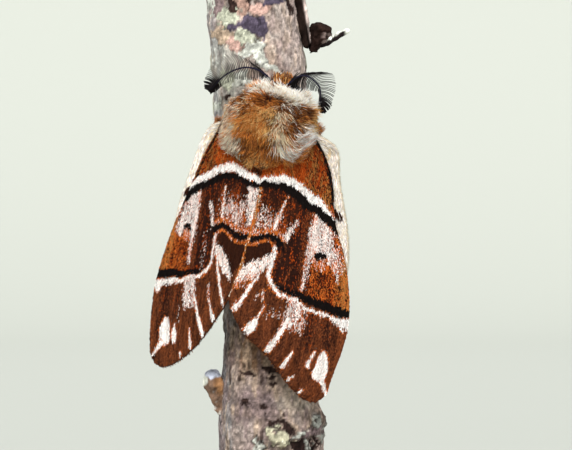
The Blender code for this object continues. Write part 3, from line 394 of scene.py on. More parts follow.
def smooth_line(points, per=12):
    """A dense smooth line through the given points."""
    knots = [np.array(p, float) for p in points]
    knots = [2 * knots[0] - knots[1]] + knots + [2 * knots[-1] - knots[-2]]
    line = []
    for a, b, c, d in zip(knots, knots[1:], knots[2:], knots[3:]):
        for k in range(per):
            t = k / per
            line.append(0.5 * (2 * b + (c - a) * t + (2 * a - 5 * b + 4 * c - d) * t * t
                               + (3 * b - a - 3 * c + d) * t ** 3))
    return np.array(line + [knots[-2]])


def along_line(points, fractions):
    """Points at the given fractions of the smooth line's length."""
    line = smooth_line(points)
    marks = np.concatenate([[0], np.cumsum(np.linalg.norm(np.diff(line, axis=0), axis=1))])
    want = np.asarray(fractions) * marks[-1]
    return np.stack([np.interp(want, marks, line[:, k]) for k in range(line.shape[1])], axis=-1)


def add_object(name, data):
    """A new object in the scene."""
    thing = bpy.data.objects.new(name, data)
    bpy.context.scene.collection.objects.link(thing)
    return thing


def add_markings(mesh, colours):
    """The painted colours of a mesh's points."""
    tints = np.ones((len(colours), 4), np.float32)
    tints[:, :3] = colours
    mesh.color_attributes.new("Markings", "FLOAT_COLOR", "POINT").data.foreach_set("color", tints.ravel())


def build(name, points, faces, finish, colours=None, bake=None, smooth=False):
    """One object from world millimetres, riding on the model, with its markings and bake map."""
    mesh = bpy.data.meshes.new(name)
    faces = np.asarray(faces, np.int32)
    count, sides = faces.shape
    mesh.vertices.add(len(points))
    mesh.vertices.foreach_set("co", (np.asarray(points) * MM).astype(np.float32).ravel())
    mesh.loops.add(count * sides)
    mesh.loops.foreach_set("vertex_index", faces.ravel())
    mesh.polygons.add(count)
    mesh.polygons.foreach_set("loop_start", (np.arange(count) * sides).astype(np.int32))
    mesh.update(calc_edges=True)
    if colours is not None:
        add_markings(mesh, colours)
    if bake is not None:
        layer = mesh.uv_layers.new(name="OFBake")
        layer.data.foreach_set("uv", bake[faces.ravel()].astype(np.float32).ravel())
    if smooth:
        mesh.shade_smooth()
    mesh.materials.append(finish)
    thing = add_object(name, mesh)
    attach(thing, BODY)
    return thing


def grid_faces(columns, rows, wrap=False):
    """Four-sided faces of a grid of points that is stored column by column."""
    i, j = np.meshgrid(np.arange(columns if wrap else columns - 1), np.arange(rows - 1), indexing="ij")
    a, b = i * rows + j, (i + 1) % columns * rows + j
    return np.stack([a, b, b + 1, a + 1], axis=-1).reshape(-1, 4)


def round_faces(columns, rows):
    return grid_faces(columns, rows, wrap=True)


def halved(quads):
    """Each four-sided face as two three-sided ones."""
    return np.concatenate([quads[:, [0, 1, 2]], quads[:, [0, 2, 3]]])


def closed_faces(sides, rows):
    """Three-sided faces of a closed tube, whose two end middles follow its grid of points."""
    start, end = np.arange(sides) * rows, np.arange(sides) * rows + rows - 1
    low = np.stack([np.roll(start, -1), start, np.full(sides, sides * rows)], axis=-1)
    high = np.stack([end, np.roll(end, -1), np.full(sides, sides * rows + 1)], axis=-1)
    return np.concatenate([halved(round_faces(sides, rows)), low, high])


def revolved(profile, sides):
    """Points of a profile of (radius, height) turned round the upright axis."""
    profile, turn = np.array(profile), 2 * pi * np.arange(sides)[:, None] / sides
    height = np.broadcast_to(profile[:, 1], (sides, len(profile)))
    ring = [profile[:, 0] * np.sin(turn), -profile[:, 0] * np.cos(turn), height]
    return np.stack(ring, axis=-1).reshape(-1, 3)


def strands(name, path, radius, colours, bake, finish, draw):
    """Many tapered three-sided strands: path is (strand, point, 3), the last point the tip."""
    count, rings = path.shape[0], path.shape[1] - 1
    ahead = unit(np.concatenate([path[:, 1:2] - path[:, :1], path[:, 2:] - path[:, :-2]], axis=1))
    loose = unit(draw.normal(size=(count, 1, 3)))
    across = unit(np.cross(ahead, loose))
    third = np.cross(ahead, across)
    points = np.empty((count, rings * 3 + 1, 3))
    for side in range(3):
        turn = 2 * pi * side / 3
        away = across * cos(turn) + third * sin(turn)
        points[:, side:rings * 3:3] = path[:, :-1] + away * radius[..., None]
    points[:, -1] = path[:, -1]
    one = [(0, 2, 1)]
    for ring in range(rings - 1):
        for side in range(3):
            a, b = ring * 3 + side, ring * 3 + (side + 1) % 3
            one += [(a, b, b + 3), (a, b + 3, a + 3)]
    last = (rings - 1) * 3
    one += [(last + side, last + (side + 1) % 3, rings * 3) for side in range(3)]
    faces = (np.array(one)[None] + np.arange(count)[:, None, None] * (rings * 3 + 1)).reshape(-1, 3)
    tints = np.concatenate([np.repeat(colours[:, :-1], 3, axis=1), colours[:, -1:]], axis=1)
    spots = np.empty((count, rings * 3 + 1, 2))
    for k in range(rings * 3 + 1):
        spots[:, k] = bake + np.array([k % 3 / 2, k // 3 / rings]) * PATCH
    return build(name, points.reshape(-1, 3), faces, finish, tints.reshape(-1, 3), spots.reshape(-1, 2))


def in_pieces(name, limit, count):
    """Names and index ranges that split many strands into pieces of at most the given number."""
    parts = max(1, -(-count // limit))
    edges = np.linspace(0, count, parts + 1).astype(int)
    return [(name + ("_%d" % (k + 1) if parts > 1 else ""), slice(a, b))
            for k, (a, b) in enumerate(zip(edges, edges[1:]))]


def set_sockets(node, sockets):
    """Plain values for a node's own sockets."""
    for name, value in sockets.items():
        node.inputs[name].default_value = value


def new_material(name, sockets):
    """A material and its shader."""
    made = bpy.data.materials.new(name)
    made.use_nodes = True
    shader = made.node_tree.nodes["Principled BSDF"]
    set_sockets(shader, sockets)
    return made, shader


def add_node(made, kind, sockets=None, **settings):
    """A further node of a material."""
    node = made.node_tree.nodes.new("ShaderNode" + kind)
    for name, value in settings.items():
        setattr(node, name, value)
    set_sockets(node, sockets or {})
    return node


def link(made, *pairs):
    """Links between a material's nodes, each as node, output, node, input."""
    for source, output, target, entry in pairs:
        made.node_tree.links.new(source.outputs[output], target.inputs[entry])


def add_tones(made, low, high):
    """A ramp between two colours."""
    tone = add_node(made, "ValToRGB")
    for element, colour in zip(tone.color_ramp.elements, (low, high)):
        element.color = (*colour, 1)
    return tone


def coat_material(name, roughness, sheen, grain, contrast=0.25):
    """Scales and hair: the painted markings, broken up by a fine noise."""
    made, shader = new_material(name, {"Roughness": roughness, "Sheen Weight": sheen,
                                       "Sheen Roughness": 0.4, "Specular IOR Level": 0.08})
    markings = add_node(made, "Attribute", attribute_name="Markings")
    place = add_node(made, "TexCoord")
    fine = add_node(made, "TexNoise", {"Scale": 1 / (grain * MM), "Detail": 3.0})
    spread = add_node(made, "MapRange", {"To Min": 1 - contrast, "To Max": 1 + contrast})
    tint = add_node(made, "Mix", {"Factor": 1.0}, data_type="RGBA", blend_type="MULTIPLY")
    link(made, (place, "Object", fine, "Vector"), (fine, "Fac", spread, "Value"),
         (markings, "Color", tint, "A"), (spread, "Result", tint, "B"),
         (tint, "Result", shader, "Base Color"))
    return made


def wing_at(outline, u, t):
    """Places (x, s) of a four-sided wing: u from its inner margin to its costa, t from root to tip."""
    u, t = np.broadcast_arrays(u, t)
    inner, costa = along_line(outline["inner"], t), along_line(outline["costa"], t)
    root, termen = along_line(outline["root"], u), along_line(outline["termen"], u)
    corners = [np.array(outline[edge][end], float) for edge, end in
               (("inner", 0), ("costa", 0), ("inner", -1), ("costa", -1))]
    u, t = u[..., None], t[..., None]
    sides, ends = inner * (1 - u) + costa * u, root * (1 - t) + termen * t
    first, last = corners[0] * (1 - u) + corners[1] * u, corners[2] * (1 - u) + corners[3] * u
    return sides + ends - first * (1 - t) - last * t


def fore_height(side, x, s):
    """Height of a forewing's skin; x is signed. The left one dips under the right one at the ridge."""
    top = ROOF_TOP + FORE_LIFT - ROOF_SLOPE * np.hypot(x, RIDGE_ROUND) - ROOF_FALL * s
    if side == "right":
        return top - RIGHT_DIP * step(x, 2.0, 0.2)
    return top - FORE_GAP * step(x, -4.0, -1.0)


def hind_height(side, x, s):
    return fore_height(side, x, s) - HIND_DROP


def wing_relief(u, t, veins, x, s):
    """How far a wing's veins and its gentle waves stand out of its smooth shape."""
    near = np.min(np.abs(u[..., None] - np.array(veins)) * WING_WIDE, axis=-1)
    ridge = VEIN_RISE * np.exp(-(near / VEIN_WIDE) ** 2) * step(t, 0.03, 0.2)
    flat = np.stack([x, s, np.zeros_like(x)], axis=-1)
    for rise, size, seed in WING_WAVES:
        ridge = ridge + rise * noise(flat, size, seed)
    return ridge


# Each kind of wing: outlines, veins, height and slot
KINDS = {"fore": (FOREWINGS, FORE_VEINS, fore_height, "wing_scales"),
         "hind": (HINDWINGS, HIND_VEINS, hind_height, "hindwing_scales")}


class Wing:
    """One wing's shape: points and directions at any place (u, t)."""

    def __init__(self, side, kind):
        outlines, self.veins, self.base, self.slot = KINDS[kind]
        self.side, self.sign, self.outline = side, SIDES[side], outlines[side]

    def chart(self, u, t):
        """(x, s) of places, x counted outwards."""
        return wing_at(self.outline, u, t)

    def skin(self, u, t, lift=0.0):
        """World points of places."""
        flat = self.chart(u, t)
        x, s = self.sign * flat[..., 0], flat[..., 1]
        height = self.base(self.side, x, s) + wing_relief(u, t, self.veins, x, s) + lift
        return world(x, s, height)

    def axes(self, u, t, small=0.004):
        """Points of places, with the directions towards the tip and out of the wing."""
        middle = self.skin(u, t)
        tipward = unit(self.skin(u, t + small) - middle)
        across = unit(self.skin(u + small, t) - middle)
        out = unit(np.cross(across, tipward))
        out = out * np.sign(out @ OUTWARD)[..., None]
        return middle, tipward, out

    def scatter(self, count, draw):
        """Places spread evenly over the wing."""
        us, ts = draw.random(count * 2), draw.random(count * 2)
        here = self.chart(us, ts)
        next_u, next_t = np.minimum(us + 0.01, 1), np.minimum(ts + 0.01, 1)
        wide = self.chart(next_u, ts) - self.chart(next_u - 0.01, ts)
        deep = self.chart(us, next_t) - self.chart(us, next_t - 0.01)
        size = np.abs(wide[:, 0] * deep[:, 1] - wide[:, 1] * deep[:, 0])
        kept = np.nonzero(draw.random(count * 2) < size / np.percentile(size, 98))[0][:count]
        return us[kept], ts[kept], here[kept]


def from_step(here, a, b):
    """Distance of places from a straight step, and how far along it the nearest point is."""
    run = b - a
    part = np.clip(((here - a) @ run) / max(run @ run, TINY), 0, 1)
    return np.linalg.norm(here - a - part[:, None] * run, axis=1), part


def from_line(x, s, points):
    """Distance of places from a smooth line, and how far along it the nearest point is."""
    line = smooth_line(points, 5)
    best, along = np.full(len(x), 1e9), np.zeros(len(x))
    here = np.stack([x, s], axis=-1)
    for k, (a, b) in enumerate(zip(line, line[1:])):
        far, part = from_step(here, a, b)
        nearer = far < best
        best = np.where(nearer, far, best)
        along = np.where(nearer, (k + part) / (len(line) - 1), along)
    return best, along


def from_area(x, s, points):
    """Distance of places inside an area's edge, negative outside it."""
    here = np.stack([x, s], axis=-1)
    corners = np.array(points, float)
    best, inside = np.full(len(x), 1e9), np.zeros(len(x), bool)
    for a, b in zip(corners, np.roll(corners, -1, axis=0)):
        best = np.minimum(best, from_step(here, a, b)[0])
        crosses = (a[1] > s) != (b[1] > s)
        at = a[0] + (s - a[1]) / (b[1] - a[1] if b[1] != a[1] else TINY) * (b[0] - a[0])
        inside ^= crosses & (x < at)
    return np.where(inside, best, -best)


def fore_colours(side, x, s, draw):
    """The colour of each scale of a forewing; its marks are laid out on a plain roof seen from the front."""
    sign = SIDES[side]
    over = fore_height(side, sign * x, s) - (LAYOUT_TOP - ROOF_SLOPE * np.abs(x) - ROOF_FALL * s)
    x = x - sign * over * tan(ROLL)
    flat = np.stack([x, s, np.zeros_like(x)], axis=-1)
    x = x + 0.05 * noise(flat, 0.7, 11) + 0.03 * draw.normal(size=len(x))
    grain = np.stack([x, s * 0.12, np.zeros_like(x)], axis=-1)
    s = s + 0.06 * noise(flat, 0.6, 12) + 0.05 * draw.normal(size=len(x)) + 0.12 * noise(grain, 0.16, 15)
    luck = rank(noise(grain, 0.17, 14) + 0.55 * draw.normal(size=len(x)))
    tints = mixed(BROWNS, luck, draw)
    for kind, mix, points, widths, soft, share in MARKS[side]:
        if kind == "line":
            far, along = from_line(x, s, points)
            inside = np.interp(along, [0, 1], widths) / 2 - far
        else:
            inside = from_area(x, s, points)
        if mix is WHITES:
            rim = draw.random(len(x)) < np.clip((inside + RUSTY_RIM) / soft + 0.5, 0, 1) * 0.55
            tints[rim] = mixed(ORANGES, luck[rim], draw)
        chosen = draw.random(len(x)) < np.clip(inside / soft + 0.5, 0, 1) * share
        tints[chosen] = mixed(mix, luck[chosen], draw)
    return tints * (1 + 0.2 * noise(grain, 0.22, 13))[:, None]


def hind_colours(side, x, s, draw):
    """Hindwing scales: white-cream along the front edge with ochre streaks, orange-brown within."""
    outer = along_line(HINDWINGS[side]["costa"], np.linspace(0, 1, 60))
    inside = np.interp(s, outer[:50, 1], outer[:50, 0]) - x
    streak = noise(np.stack([x, s * 0.12, np.zeros_like(x)], axis=-1), 0.3, 21)
    tints = mixed([(WHITE, 5), (CREAM, 4), (PINK_WHITE, 1)], draw.random(len(x)), draw)
    ochre = (streak + 0.5 * step(inside, 0.3, 1.4) > 0.32) & (inside > 0.3)
    tints[ochre] = mixed([(HIND_OCHRE, 4), (CREAM, 3)], draw.random(ochre.sum()), draw)
    tints[inside > 2.6] = ORANGE * 0.8
    for at, deep, wide in HIND_MARKS[side]:
        spot = np.hypot((s - at + 0.5 * inside) / wide, (inside - 0.7) / 0.9 / deep)
        tints[(spot < 1) & (draw.random(len(x)) < 0.92)] = DARK_BROWN
    return tints


# Bands of the wings' undersides: line (x, s), half width, share of the scales, colour
UNDER_BANDS = [([(1, 11), (3.5, 11.2), (4, 15), (7, 16.5), (11, 17.5)], 0.5, 0.8, DARK_BROWN),
               ([(1.4, 12), (3.2, 12.4), (3.4, 15.8), (6.5, 17.6), (11, 18.6)], 0.3, 0.7, PINK_WHITE)]
UNDER_TIP = 19
UNDER_TIP_SHARE = 0.6


def under_colours(side, x, s, draw):
    """Scales of the underside: tawny, with the dark bands showing faintly through."""
    tints = np.tile(UNDER, (len(x), 1))
    for line, wide, share, colour in UNDER_BANDS:
        tints[(from_line(x, s, line)[0] < wide) & (draw.random(len(x)) < share)] = colour
    tints[(s > UNDER_TIP) & (draw.random(len(x)) < UNDER_TIP_SHARE)] = RED_BROWN
    return tints


# A scale as a raised kite: each point's place along and across it, its rise with the tilt, its own
# rise, its brightness and its place in the patch of the bake map. The brightness is painted shade and
# light: dark at the root, which lies under the scale before it, dimmer at the sides, and lighter at the
# raised middle and the tip
KITE = [(-0.1, 0, 0, 0, 0.7, (0.5, 0)), (0.45, 0.5, 0.4, 0, 0.9, (1, 0.5)), (0.95, 0, 0.7, 0, 1.12, (0.5, 1)),
        (0.45, -0.5, 0.4, 0, 0.9, (0, 0.5)), (0.5, 0, 0.45, 0.12, 1.1, (0.5, 0.5))]
KITE_FACES = np.array([(0, 1, 4), (1, 2, 4), (2, 3, 4), (3, 0, 4)])
# The scales' spread of length, width, tilt, height and brightness, how far they point astray, and
# between which places the long hairy scales of the wing's root give way to plain ones
SCALE_LENGTH, SCALE_WIDTH, SCALE_TILT = (0.8, 1.25), (0.36, 0.52), (0.16, 0.34)
SCALE_HEIGHT, SCALE_BRIGHT, SCALE_ASTRAY = (-0.01, 0.03), (0.62, 1.32), 0.13
HAIRY_FADE = (2.0, 7.0)


def scale_field(wing, name, count, size, paint, face, seed, finish, slim=1.0):
    """A wing's scales on one face: small raised kites laid like shingles towards the wing's edge."""
    draw = np.random.default_rng(seed)
    us, ts, flat = wing.scatter(count, draw)
    middle, tipward, out = wing.axes(us, ts)
    out = out * face
    tints = paint(wing.side, flat[:, 0], flat[:, 1], draw)
    count = len(us)
    hairy = 1 - step(flat[:, 1], *HAIRY_FADE) * 0.55
    length = size * draw.uniform(*SCALE_LENGTH, count) * (0.8 + 1.1 * hairy) / slim
    width = size * draw.uniform(*SCALE_WIDTH, count) * (1.15 - 0.5 * hairy) * slim
    side_way = unit(np.cross(tipward, out))
    aim = draw.normal(0, SCALE_ASTRAY, count)[:, None]
    tipward = unit(tipward + side_way * aim)
    side_way = unit(np.cross(tipward, out)) * width[:, None]
    length = length[:, None]
    root = middle + out * (MEMBRANE / 2 + draw.uniform(*SCALE_HEIGHT, count)[:, None])
    tilt = draw.uniform(*SCALE_TILT, count)[:, None]
    points = np.stack([root + (tipward * along + out * (tilt * lean + rise)) * length + side_way * across
                       for along, across, lean, rise, _, _ in KITE], axis=1)
    one = KITE_FACES if face > 0 else KITE_FACES[:, ::-1]
    faces = (one[None] + np.arange(count)[:, None, None] * len(KITE)).reshape(-1, 3)
    bright = draw.uniform(*SCALE_BRIGHT, count)[:, None, None]
    # each point's painted shade and light from the kite, over the scale's own random brightness
    tints = tints[:, None] * bright * np.array([point[4] for point in KITE])[None, :, None]
    spots = np.stack([us, ts], axis=-1)[:, None] * UV_REACH + np.array([point[5] for point in KITE]) * PATCH
    build(name, points.reshape(-1, 3), faces, finish, tints.reshape(-1, 3), spots.reshape(-1, 2))


def membrane(wing, name, paint, finish, columns, rows):
    """A wing's thin skin, painted like its scales so that nothing bare shows between them; its colours
    are taken down to 0.8 as painted shade under the scales.
    """
    draw = np.random.default_rng(3)
    u, t = np.meshgrid(np.linspace(0, 1, columns), np.linspace(0, 1, rows), indexing="ij")
    points = [wing.skin(u, t, lift).reshape(-1, 3) for lift in (MEMBRANE / 2, -MEMBRANE / 2)]
    flat = wing.chart(u, t).reshape(-1, 2)
    tints = [painter(wing.side, flat[:, 0], flat[:, 1], draw) for painter in (paint, under_colours)]
    faces = grid_faces(columns, rows)
    under = columns * rows
    edge = [i * rows for i in range(columns)] + [(columns - 1) * rows + j for j in range(1, rows)]
    edge += [i * rows + rows - 1 for i in range(columns - 2, -1, -1)] + list(range(rows - 2, 0, -1))
    rim = [(b, a, a + under, b + under) for a, b in zip(edge, edge[1:] + edge[:1])]
    faces = np.concatenate([faces, faces[:, ::-1] + under, np.array(rim)])
    if wing.sign > 0:
        faces = faces[:, ::-1]
    # the skin's colours at 0.8: painted shade where it shows between the scales
    return build(name, np.concatenate(points), faces, finish, np.concatenate(tints) * 0.8)


# Share of a fringe's hairs that are white: none, and the draw stays so that the others keep theirs
FRINGE_WHITES = 0.0


def fringe(wing, name, edge, count, length, tint, seed, finish):
    """Fine hairs that stand out of a wing's edge."""
    draw = np.random.default_rng(seed)
    along = draw.random(count)
    if edge == "termen":
        u, t = along, np.full(count, 0.995)
        inward = wing.skin(u, t - 0.02)
    else:
        u, t = np.full(count, 0.995), along * 0.86 + 0.02
        inward = wing.skin(u - 0.02, t)
    root = wing.skin(u, t)
    _, tipward, out = wing.axes(np.minimum(u, 0.99), np.minimum(t, 0.99))
    away = unit(root - inward)
    if edge == "costa":
        away = unit(away + tipward * 1.6)
    away = unit(away + draw.normal(0, 0.12, (count, 3)))
    long = (length * draw.uniform(0.6, 1.1, count))[:, None]
    path = np.stack([root - away * 0.08, root + away * long * 0.5, root + (away - out * 0.12) * long], axis=1)
    radius = np.full((count, 2), 0.025) * np.array([1.0, 0.8])
    tints = np.tile(tint, (count, 1)) * draw.uniform(0.75, 1.2, count)[:, None]
    tints[draw.random(count) < FRINGE_WHITES] = WHITE
    spots = np.stack([u, np.clip(t, 0, 1)], axis=-1) * UV_REACH
    strands(name, path, radius, np.repeat(tints[:, None], 3, axis=1), spots, finish, draw)


# How each kind of wing is covered: its paint, the grid of its membrane, its scales on top and below
# as (number, size), the slimness of those on top, and its fringe's edge, hairs, length and colour
COVERS = {
    "fore": dict(paint=fore_colours, grid=(60, 130), top=(44000, 0.20), under=(8000, 0.34), slim=1.0,
                 fringe=("termen", 2600, 0.42, BROWN), seed=31),
    "hind": dict(paint=hind_colours, grid=(50, 90), top=(12000, 0.26), under=(5000, 0.36), slim=0.7,
                 fringe=("costa", 1500, 0.6, CREAM), seed=34),
}


def make_wings():
    finish = coat_material("wing scales", 0.6, 0.0, 0.12)
    skin = coat_material("wing membrane", 0.75, 0.0, 0.1)
    for side in SIDES:
        for kind, cover in COVERS.items():
            wing, name, seed = Wing(side, kind), kind + "wing_" + side, cover["seed"]
            sheet = membrane(wing, name + "_membrane", cover["paint"], skin, *cover["grid"])
            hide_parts(name)
            scale_field(wing, name + "_scales", *cover["top"], cover["paint"], 1, seed, finish, cover["slim"])
            scale_field(wing, name + "_underscales", *cover["under"], under_colours, -1, seed + 1, finish)
            fringe(wing, name + "_fringe", *cover["fringe"], seed + 2, finish)


# Body: the thorax's middle, the reach of its skin and of its coat's tips (length, width, back, belly)
BODY_BOX = 2.5
THORAX_MIDDLE = np.array([0.0, 0.15, 0.3])
THORAX_CORE = (3.5, 3.6, 3.4, 3.5)
THORAX_TIPS = (4.7, 4.75, 4.95, 4.1)
PARTINGS = (-2.3, 1.5)
RIGHT_SPREAD = 1.1
HEAD_CENTRE = np.array([0.0, -4.4, -1.1])
HEAD_CORE = (1.0, 1.0, 1.15, 1.2)
HEAD_TIPS = (1.35, 1.2, 1.9, 1.55)
REAR_EDGE = [(-4.66, 1.6), (-3.47, 2.5), (-1.67, 3.4), (0.3, 3.78), (1.66, 3.72), (2.86, 2.83), (3.83, 2.79),
             (4.48, 2.12), (5.38, 0.46), (5.7, -0.77)]
ABDOMEN = [(3.0, -0.7, 1.7), (5.4, -0.95, 1.75), (7.5, -1.4, 1.8), (10.0, -2.0, 1.75), (12.5, -2.5, 1.55),
           (14.5, -2.85, 1.25), (16.0, -3.1, 0.75), (16.5, -3.2, 0.2)]
EYE_SIDE = 1.45
EYE_RADIUS = 0.72
EYE_BULGE = 0.55
EYE_SUNK = 0.25
EYE_FACET = 0.07
EYE_GRID = (40, 16)

# Coat colours
FUR_OCHRE = srgb(206, 128, 58)
FUR_DARK = srgb(96, 56, 26)
FUR_GOLD = srgb(234, 178, 112)
FUR_PALE = srgb(255, 224, 192)
FUR_PINK = srgb(255, 228, 208)
FUR_CREAM = srgb(255, 240, 224) * 1.1
FUR_BELLY = srgb(150, 118, 96)

# Marks of the thorax's coat, and one painted shadow, laid one over another: colour, share of the hairs,
# line (x, s), width
COAT_MARKS = [
    (FUR_DARK, 0.30, [(-0.4, 2.6), (0.6, 3.0)], 1.6),
    # painted shadow: a dark line in the parting between the right tegula and the middle of the thorax
    (FUR_DARK, 0.5, [(1.35, -2.0), (1.45, 0.2), (1.9, 1.6)], 0.45),
    (FUR_DARK, 0.45, [(2.7, -1.9), (2.9, -0.8)], 1.0),
    (FUR_PALE, 0.7, [(-1.2, -2.3), (-2.0, -1.2), (-2.7, 0.2)], 0.7),
    (FUR_PINK, 0.8, [(-3.0, -1.4), (-2.8, 0.4), (-2.0, 1.8)], 2.1),
    (FUR_PALE, 0.9, [(1.8, -1.7), (1.85, -0.6), (2.1, 0.6), (2.3, 1.5)], 0.7),
    (FUR_CREAM * 1.2, 0.85, [(3.4, -0.4), (3.1, 0.6), (2.4, 1.5)], 1.0),
    (FUR_DARK, 0.9, [(-2.6, -2.15), (-1.3, -2.4)], 0.7),
    (FUR_DARK, 0.9, [(1.9, -2.4), (3.0, -2.15), (3.6, -1.7)], 0.6),
]
COLLAR_FRONT, COLLAR_LEFT, COLLAR_RIGHT = -2.55, -1.35, 3.7

# Where along a hair its points are, and how far out from the skin to the coat's tips each of them is
THORAX_RISE = ((0.0, -0.1), (0.30, 0.45), (0.65, 0.80), (1.0, 1.02))
HEAD_RISE = ((0.0, -0.1), (0.35, 0.55), (0.7, 0.95), (1.0, 1.25))
ABDOMEN_RISE = ((0.0, 0.9), (0.33, 1.1), (0.66, 1.2), (1.0, 1.22))
# Tufts: hairs in each, how firmly they hold together, how far each leans its own way
BIG_TUFTS, SMALL_TUFTS = (80, 0.45, 0.3), (12, 0.55, 0.12)
HEAD_TUFTS, ABDOMEN_TUFTS = (9, 0.75, 0.2), (14, 0.5, 0.05)
# The hairs' backward sweep, in radians, on the collar and behind it
COLLAR_SWEEP, BACK_SWEEP = (-0.12, 0.2), (0.1, 0.45)
# The angles from the front between which the thorax bears hair, and how thin the hair is below
THORAX_BARE = (172, 12)
BELLY_FROM, BELLY_SHARE = 2.3, 0.45
PARTING_WIDE, PARTING_DEEP, PARTING_SLANT = 0.4, 0.3, 0.12

# Antennae: shaft, and the tips of the two rows of rays, as (x, s, h)
ANTENNAE = {
    "left": {
        "shaft": [(-0.75, -4.75, 0.3), (-1.28, -4.99, 0.1), (-2.44, -5.56, -0.2), (-3.64, -5.75, -0.45),
                  (-4.60, -5.63, -0.5), (-5.54, -5.22, -0.6), (-6.40, -4.65, -0.75), (-7.05, -4.00, -0.95),
                  (-7.74, -3.16, -1.2), (-8.26, -2.46, -1.4)],
        "outer": [(-1.7, -5.35, -0.1), (-2.53, -5.79, -0.2), (-3.80, -6.28, -0.5), (-4.84, -6.66, -0.7),
                  (-5.84, -6.80, -0.8), (-6.77, -6.68, -0.9), (-7.53, -6.35, -1.0), (-8.16, -5.72, -1.1),
                  (-8.55, -5.15, -1.2), (-8.80, -4.45, -1.3), (-8.95, -3.85, -1.4), (-9.0, -3.2, -1.5),
                  (-8.7, -2.6, -1.5)],
        "inner": [(-1.6, -4.55, -0.4), (-2.74, -4.40, -0.8), (-3.78, -4.50, -1.1), (-4.49, -4.45, -1.3),
                  (-5.52, -4.30, -1.4), (-6.3, -3.9, -1.4), (-7.0, -3.3, -1.5), (-7.5, -2.8, -1.6),
                  (-8.1, -2.25, -1.6)],
    },
    "right": {
        "shaft": [(0.55, -4.6, 0.35), (0.85, -4.77, 0.25), (1.20, -5.38, -0.1), (1.69, -5.84, -0.25),
                  (2.25, -6.06, -0.35), (2.83, -5.99, -0.5), (3.35, -5.73, -0.6), (3.86, -5.36, -0.75),
                  (4.11, -4.88, -0.9), (4.24, -4.19, -1.1), (4.25, -3.48, -1.3), (4.14, -2.85, -1.5)],
        "outer": [(1.5, -6.2, -0.3), (3.0, -6.55, -0.5), (4.2, -6.8, -0.6), (4.97, -6.84, -0.7),
                  (5.34, -6.53, -0.8), (5.54, -6.09, -0.9), (5.65, -5.46, -1.0), (5.66, -4.9, -1.1),
                  (5.60, -4.3, -1.2), (5.40, -3.32, -1.4), (4.98, -2.77, -1.6), (4.41, -2.6, -1.7)],
        "inner": [(0.95, -4.4, -0.2), (1.25, -4.35, -0.6), (1.69, -4.36, -0.9), (2.45, -4.45, -1.2),
                  (2.9, -4.70, -1.4), (3.3, -4.75, -1.5), (3.75, -4.6, -1.6), (3.95, -3.9, -1.6),
                  (4.0, -3.0, -1.7)],
    },
}
SHAFT_RADIUS = 0.12
RAYS = 46
FIRST_RAY, LAST_RAY = 0.10, 0.985
RAY_RADIUS = 0.062
RAY_CROWDING = 1.2
RAY_BOW = 0.22
RAY_POINTS = 7


def shell_points(middle, reach, turn, spin):
    """Points of a boxy ball, by the angle from its front and the angle round from its back."""
    ways = np.stack([np.sin(turn) * np.sin(spin), -np.cos(turn), np.sin(turn) * np.cos(spin)], axis=-1)
    swell = (np.abs(ways) ** BODY_BOX).sum(axis=-1) ** (-1 / BODY_BOX)
    length, wide, up, down = reach
    deep = np.where(ways[..., 2] > 0, up, down)
    axes = np.stack([np.full_like(deep, wide), np.full_like(deep, length), deep], axis=-1)
    return middle + axes * ways * swell[..., None]


def abdomen_at(s):
    table = np.array(ABDOMEN)
    return np.interp(s, table[:, 0], table[:, 1]), np.interp(s, table[:, 0], table[:, 2])


def coat_colours(x, s, h, spin, draw):
    """The coat's markings by where a hair is rooted, in the moth's frame."""
    count = len(x)
    spot = np.stack([x, s, h], axis=-1)
    tints = np.tile(FUR_OCHRE, (count, 1))
    patch = noise(spot, 1.3, 41, 2)
    fine, tufts = draw.random(count), noise(spot * np.array([1, 0.6, 1]), 0.35, 48)
    tints[patch + 0.4 * (fine - 0.5) > 0.2] = FUR_GOLD
    tints[patch + 0.6 * (fine - 0.5) < -0.26] = FUR_DARK * 1.35
    for colour, share, points, wide in COAT_MARKS:
        far = from_line(x, s, points)[0]
        near = np.clip((wide / 2 - far) / 0.5 + 0.5, 0, 1) * (1 + 0.9 * tufts)
        tints[(draw.random(count) < near * share) & (h > 0.2)] = colour
    front = s < COLLAR_FRONT + 0.3 * noise(spot, 1.0, 43)
    collar = front & (h > -0.8) & (x > COLLAR_LEFT) & (x < COLLAR_RIGHT)
    tints[collar] = FUR_CREAM
    belly = (np.abs(spin) > 2.1) & ~collar
    tints[belly & (fine < 0.7)] = FUR_BELLY
    return tints


def between(middle, core, tips, turn, spin, share):
    """Places on the way out from the skin to the coat's tips."""
    low, high = shell_points(middle, core, turn, spin), shell_points(middle, tips, turn, spin)
    return low + (high - low) * share[:, None]


def unwrapped(spin, height):
    """Places on the bake map of hairs that are rooted round the body."""
    return np.stack([spin / (2 * pi) + 0.5, height], axis=-1) * UV_REACH


def clumped(path, roots, spacing, pull, wander, draw):
    """Draw strands' outer ends together into small tufts, each leaning a little its own way."""
    count = len(path)
    centres = draw.choice(count, max(1, int(count / spacing)), replace=False)
    tree = KDTree(len(centres))
    for k, index in enumerate(centres):
        tree.insert(roots[index], k)
    tree.balance()
    nearest = np.array([tree.find(root)[1] for root in roots])
    leader = path[centres[nearest]]
    rise = np.linspace(0, 1, path.shape[1])[None, :, None] ** 1.4
    share = rise * pull * draw.uniform(0.4, 1.0, (count, 1, 1))
    shift = leader - path - (roots[centres[nearest]] - roots)[:, None] * 0.35
    lean = draw.normal(0, wander, (len(centres), 1, 3))[nearest]
    return path + shift * share + lean * rise


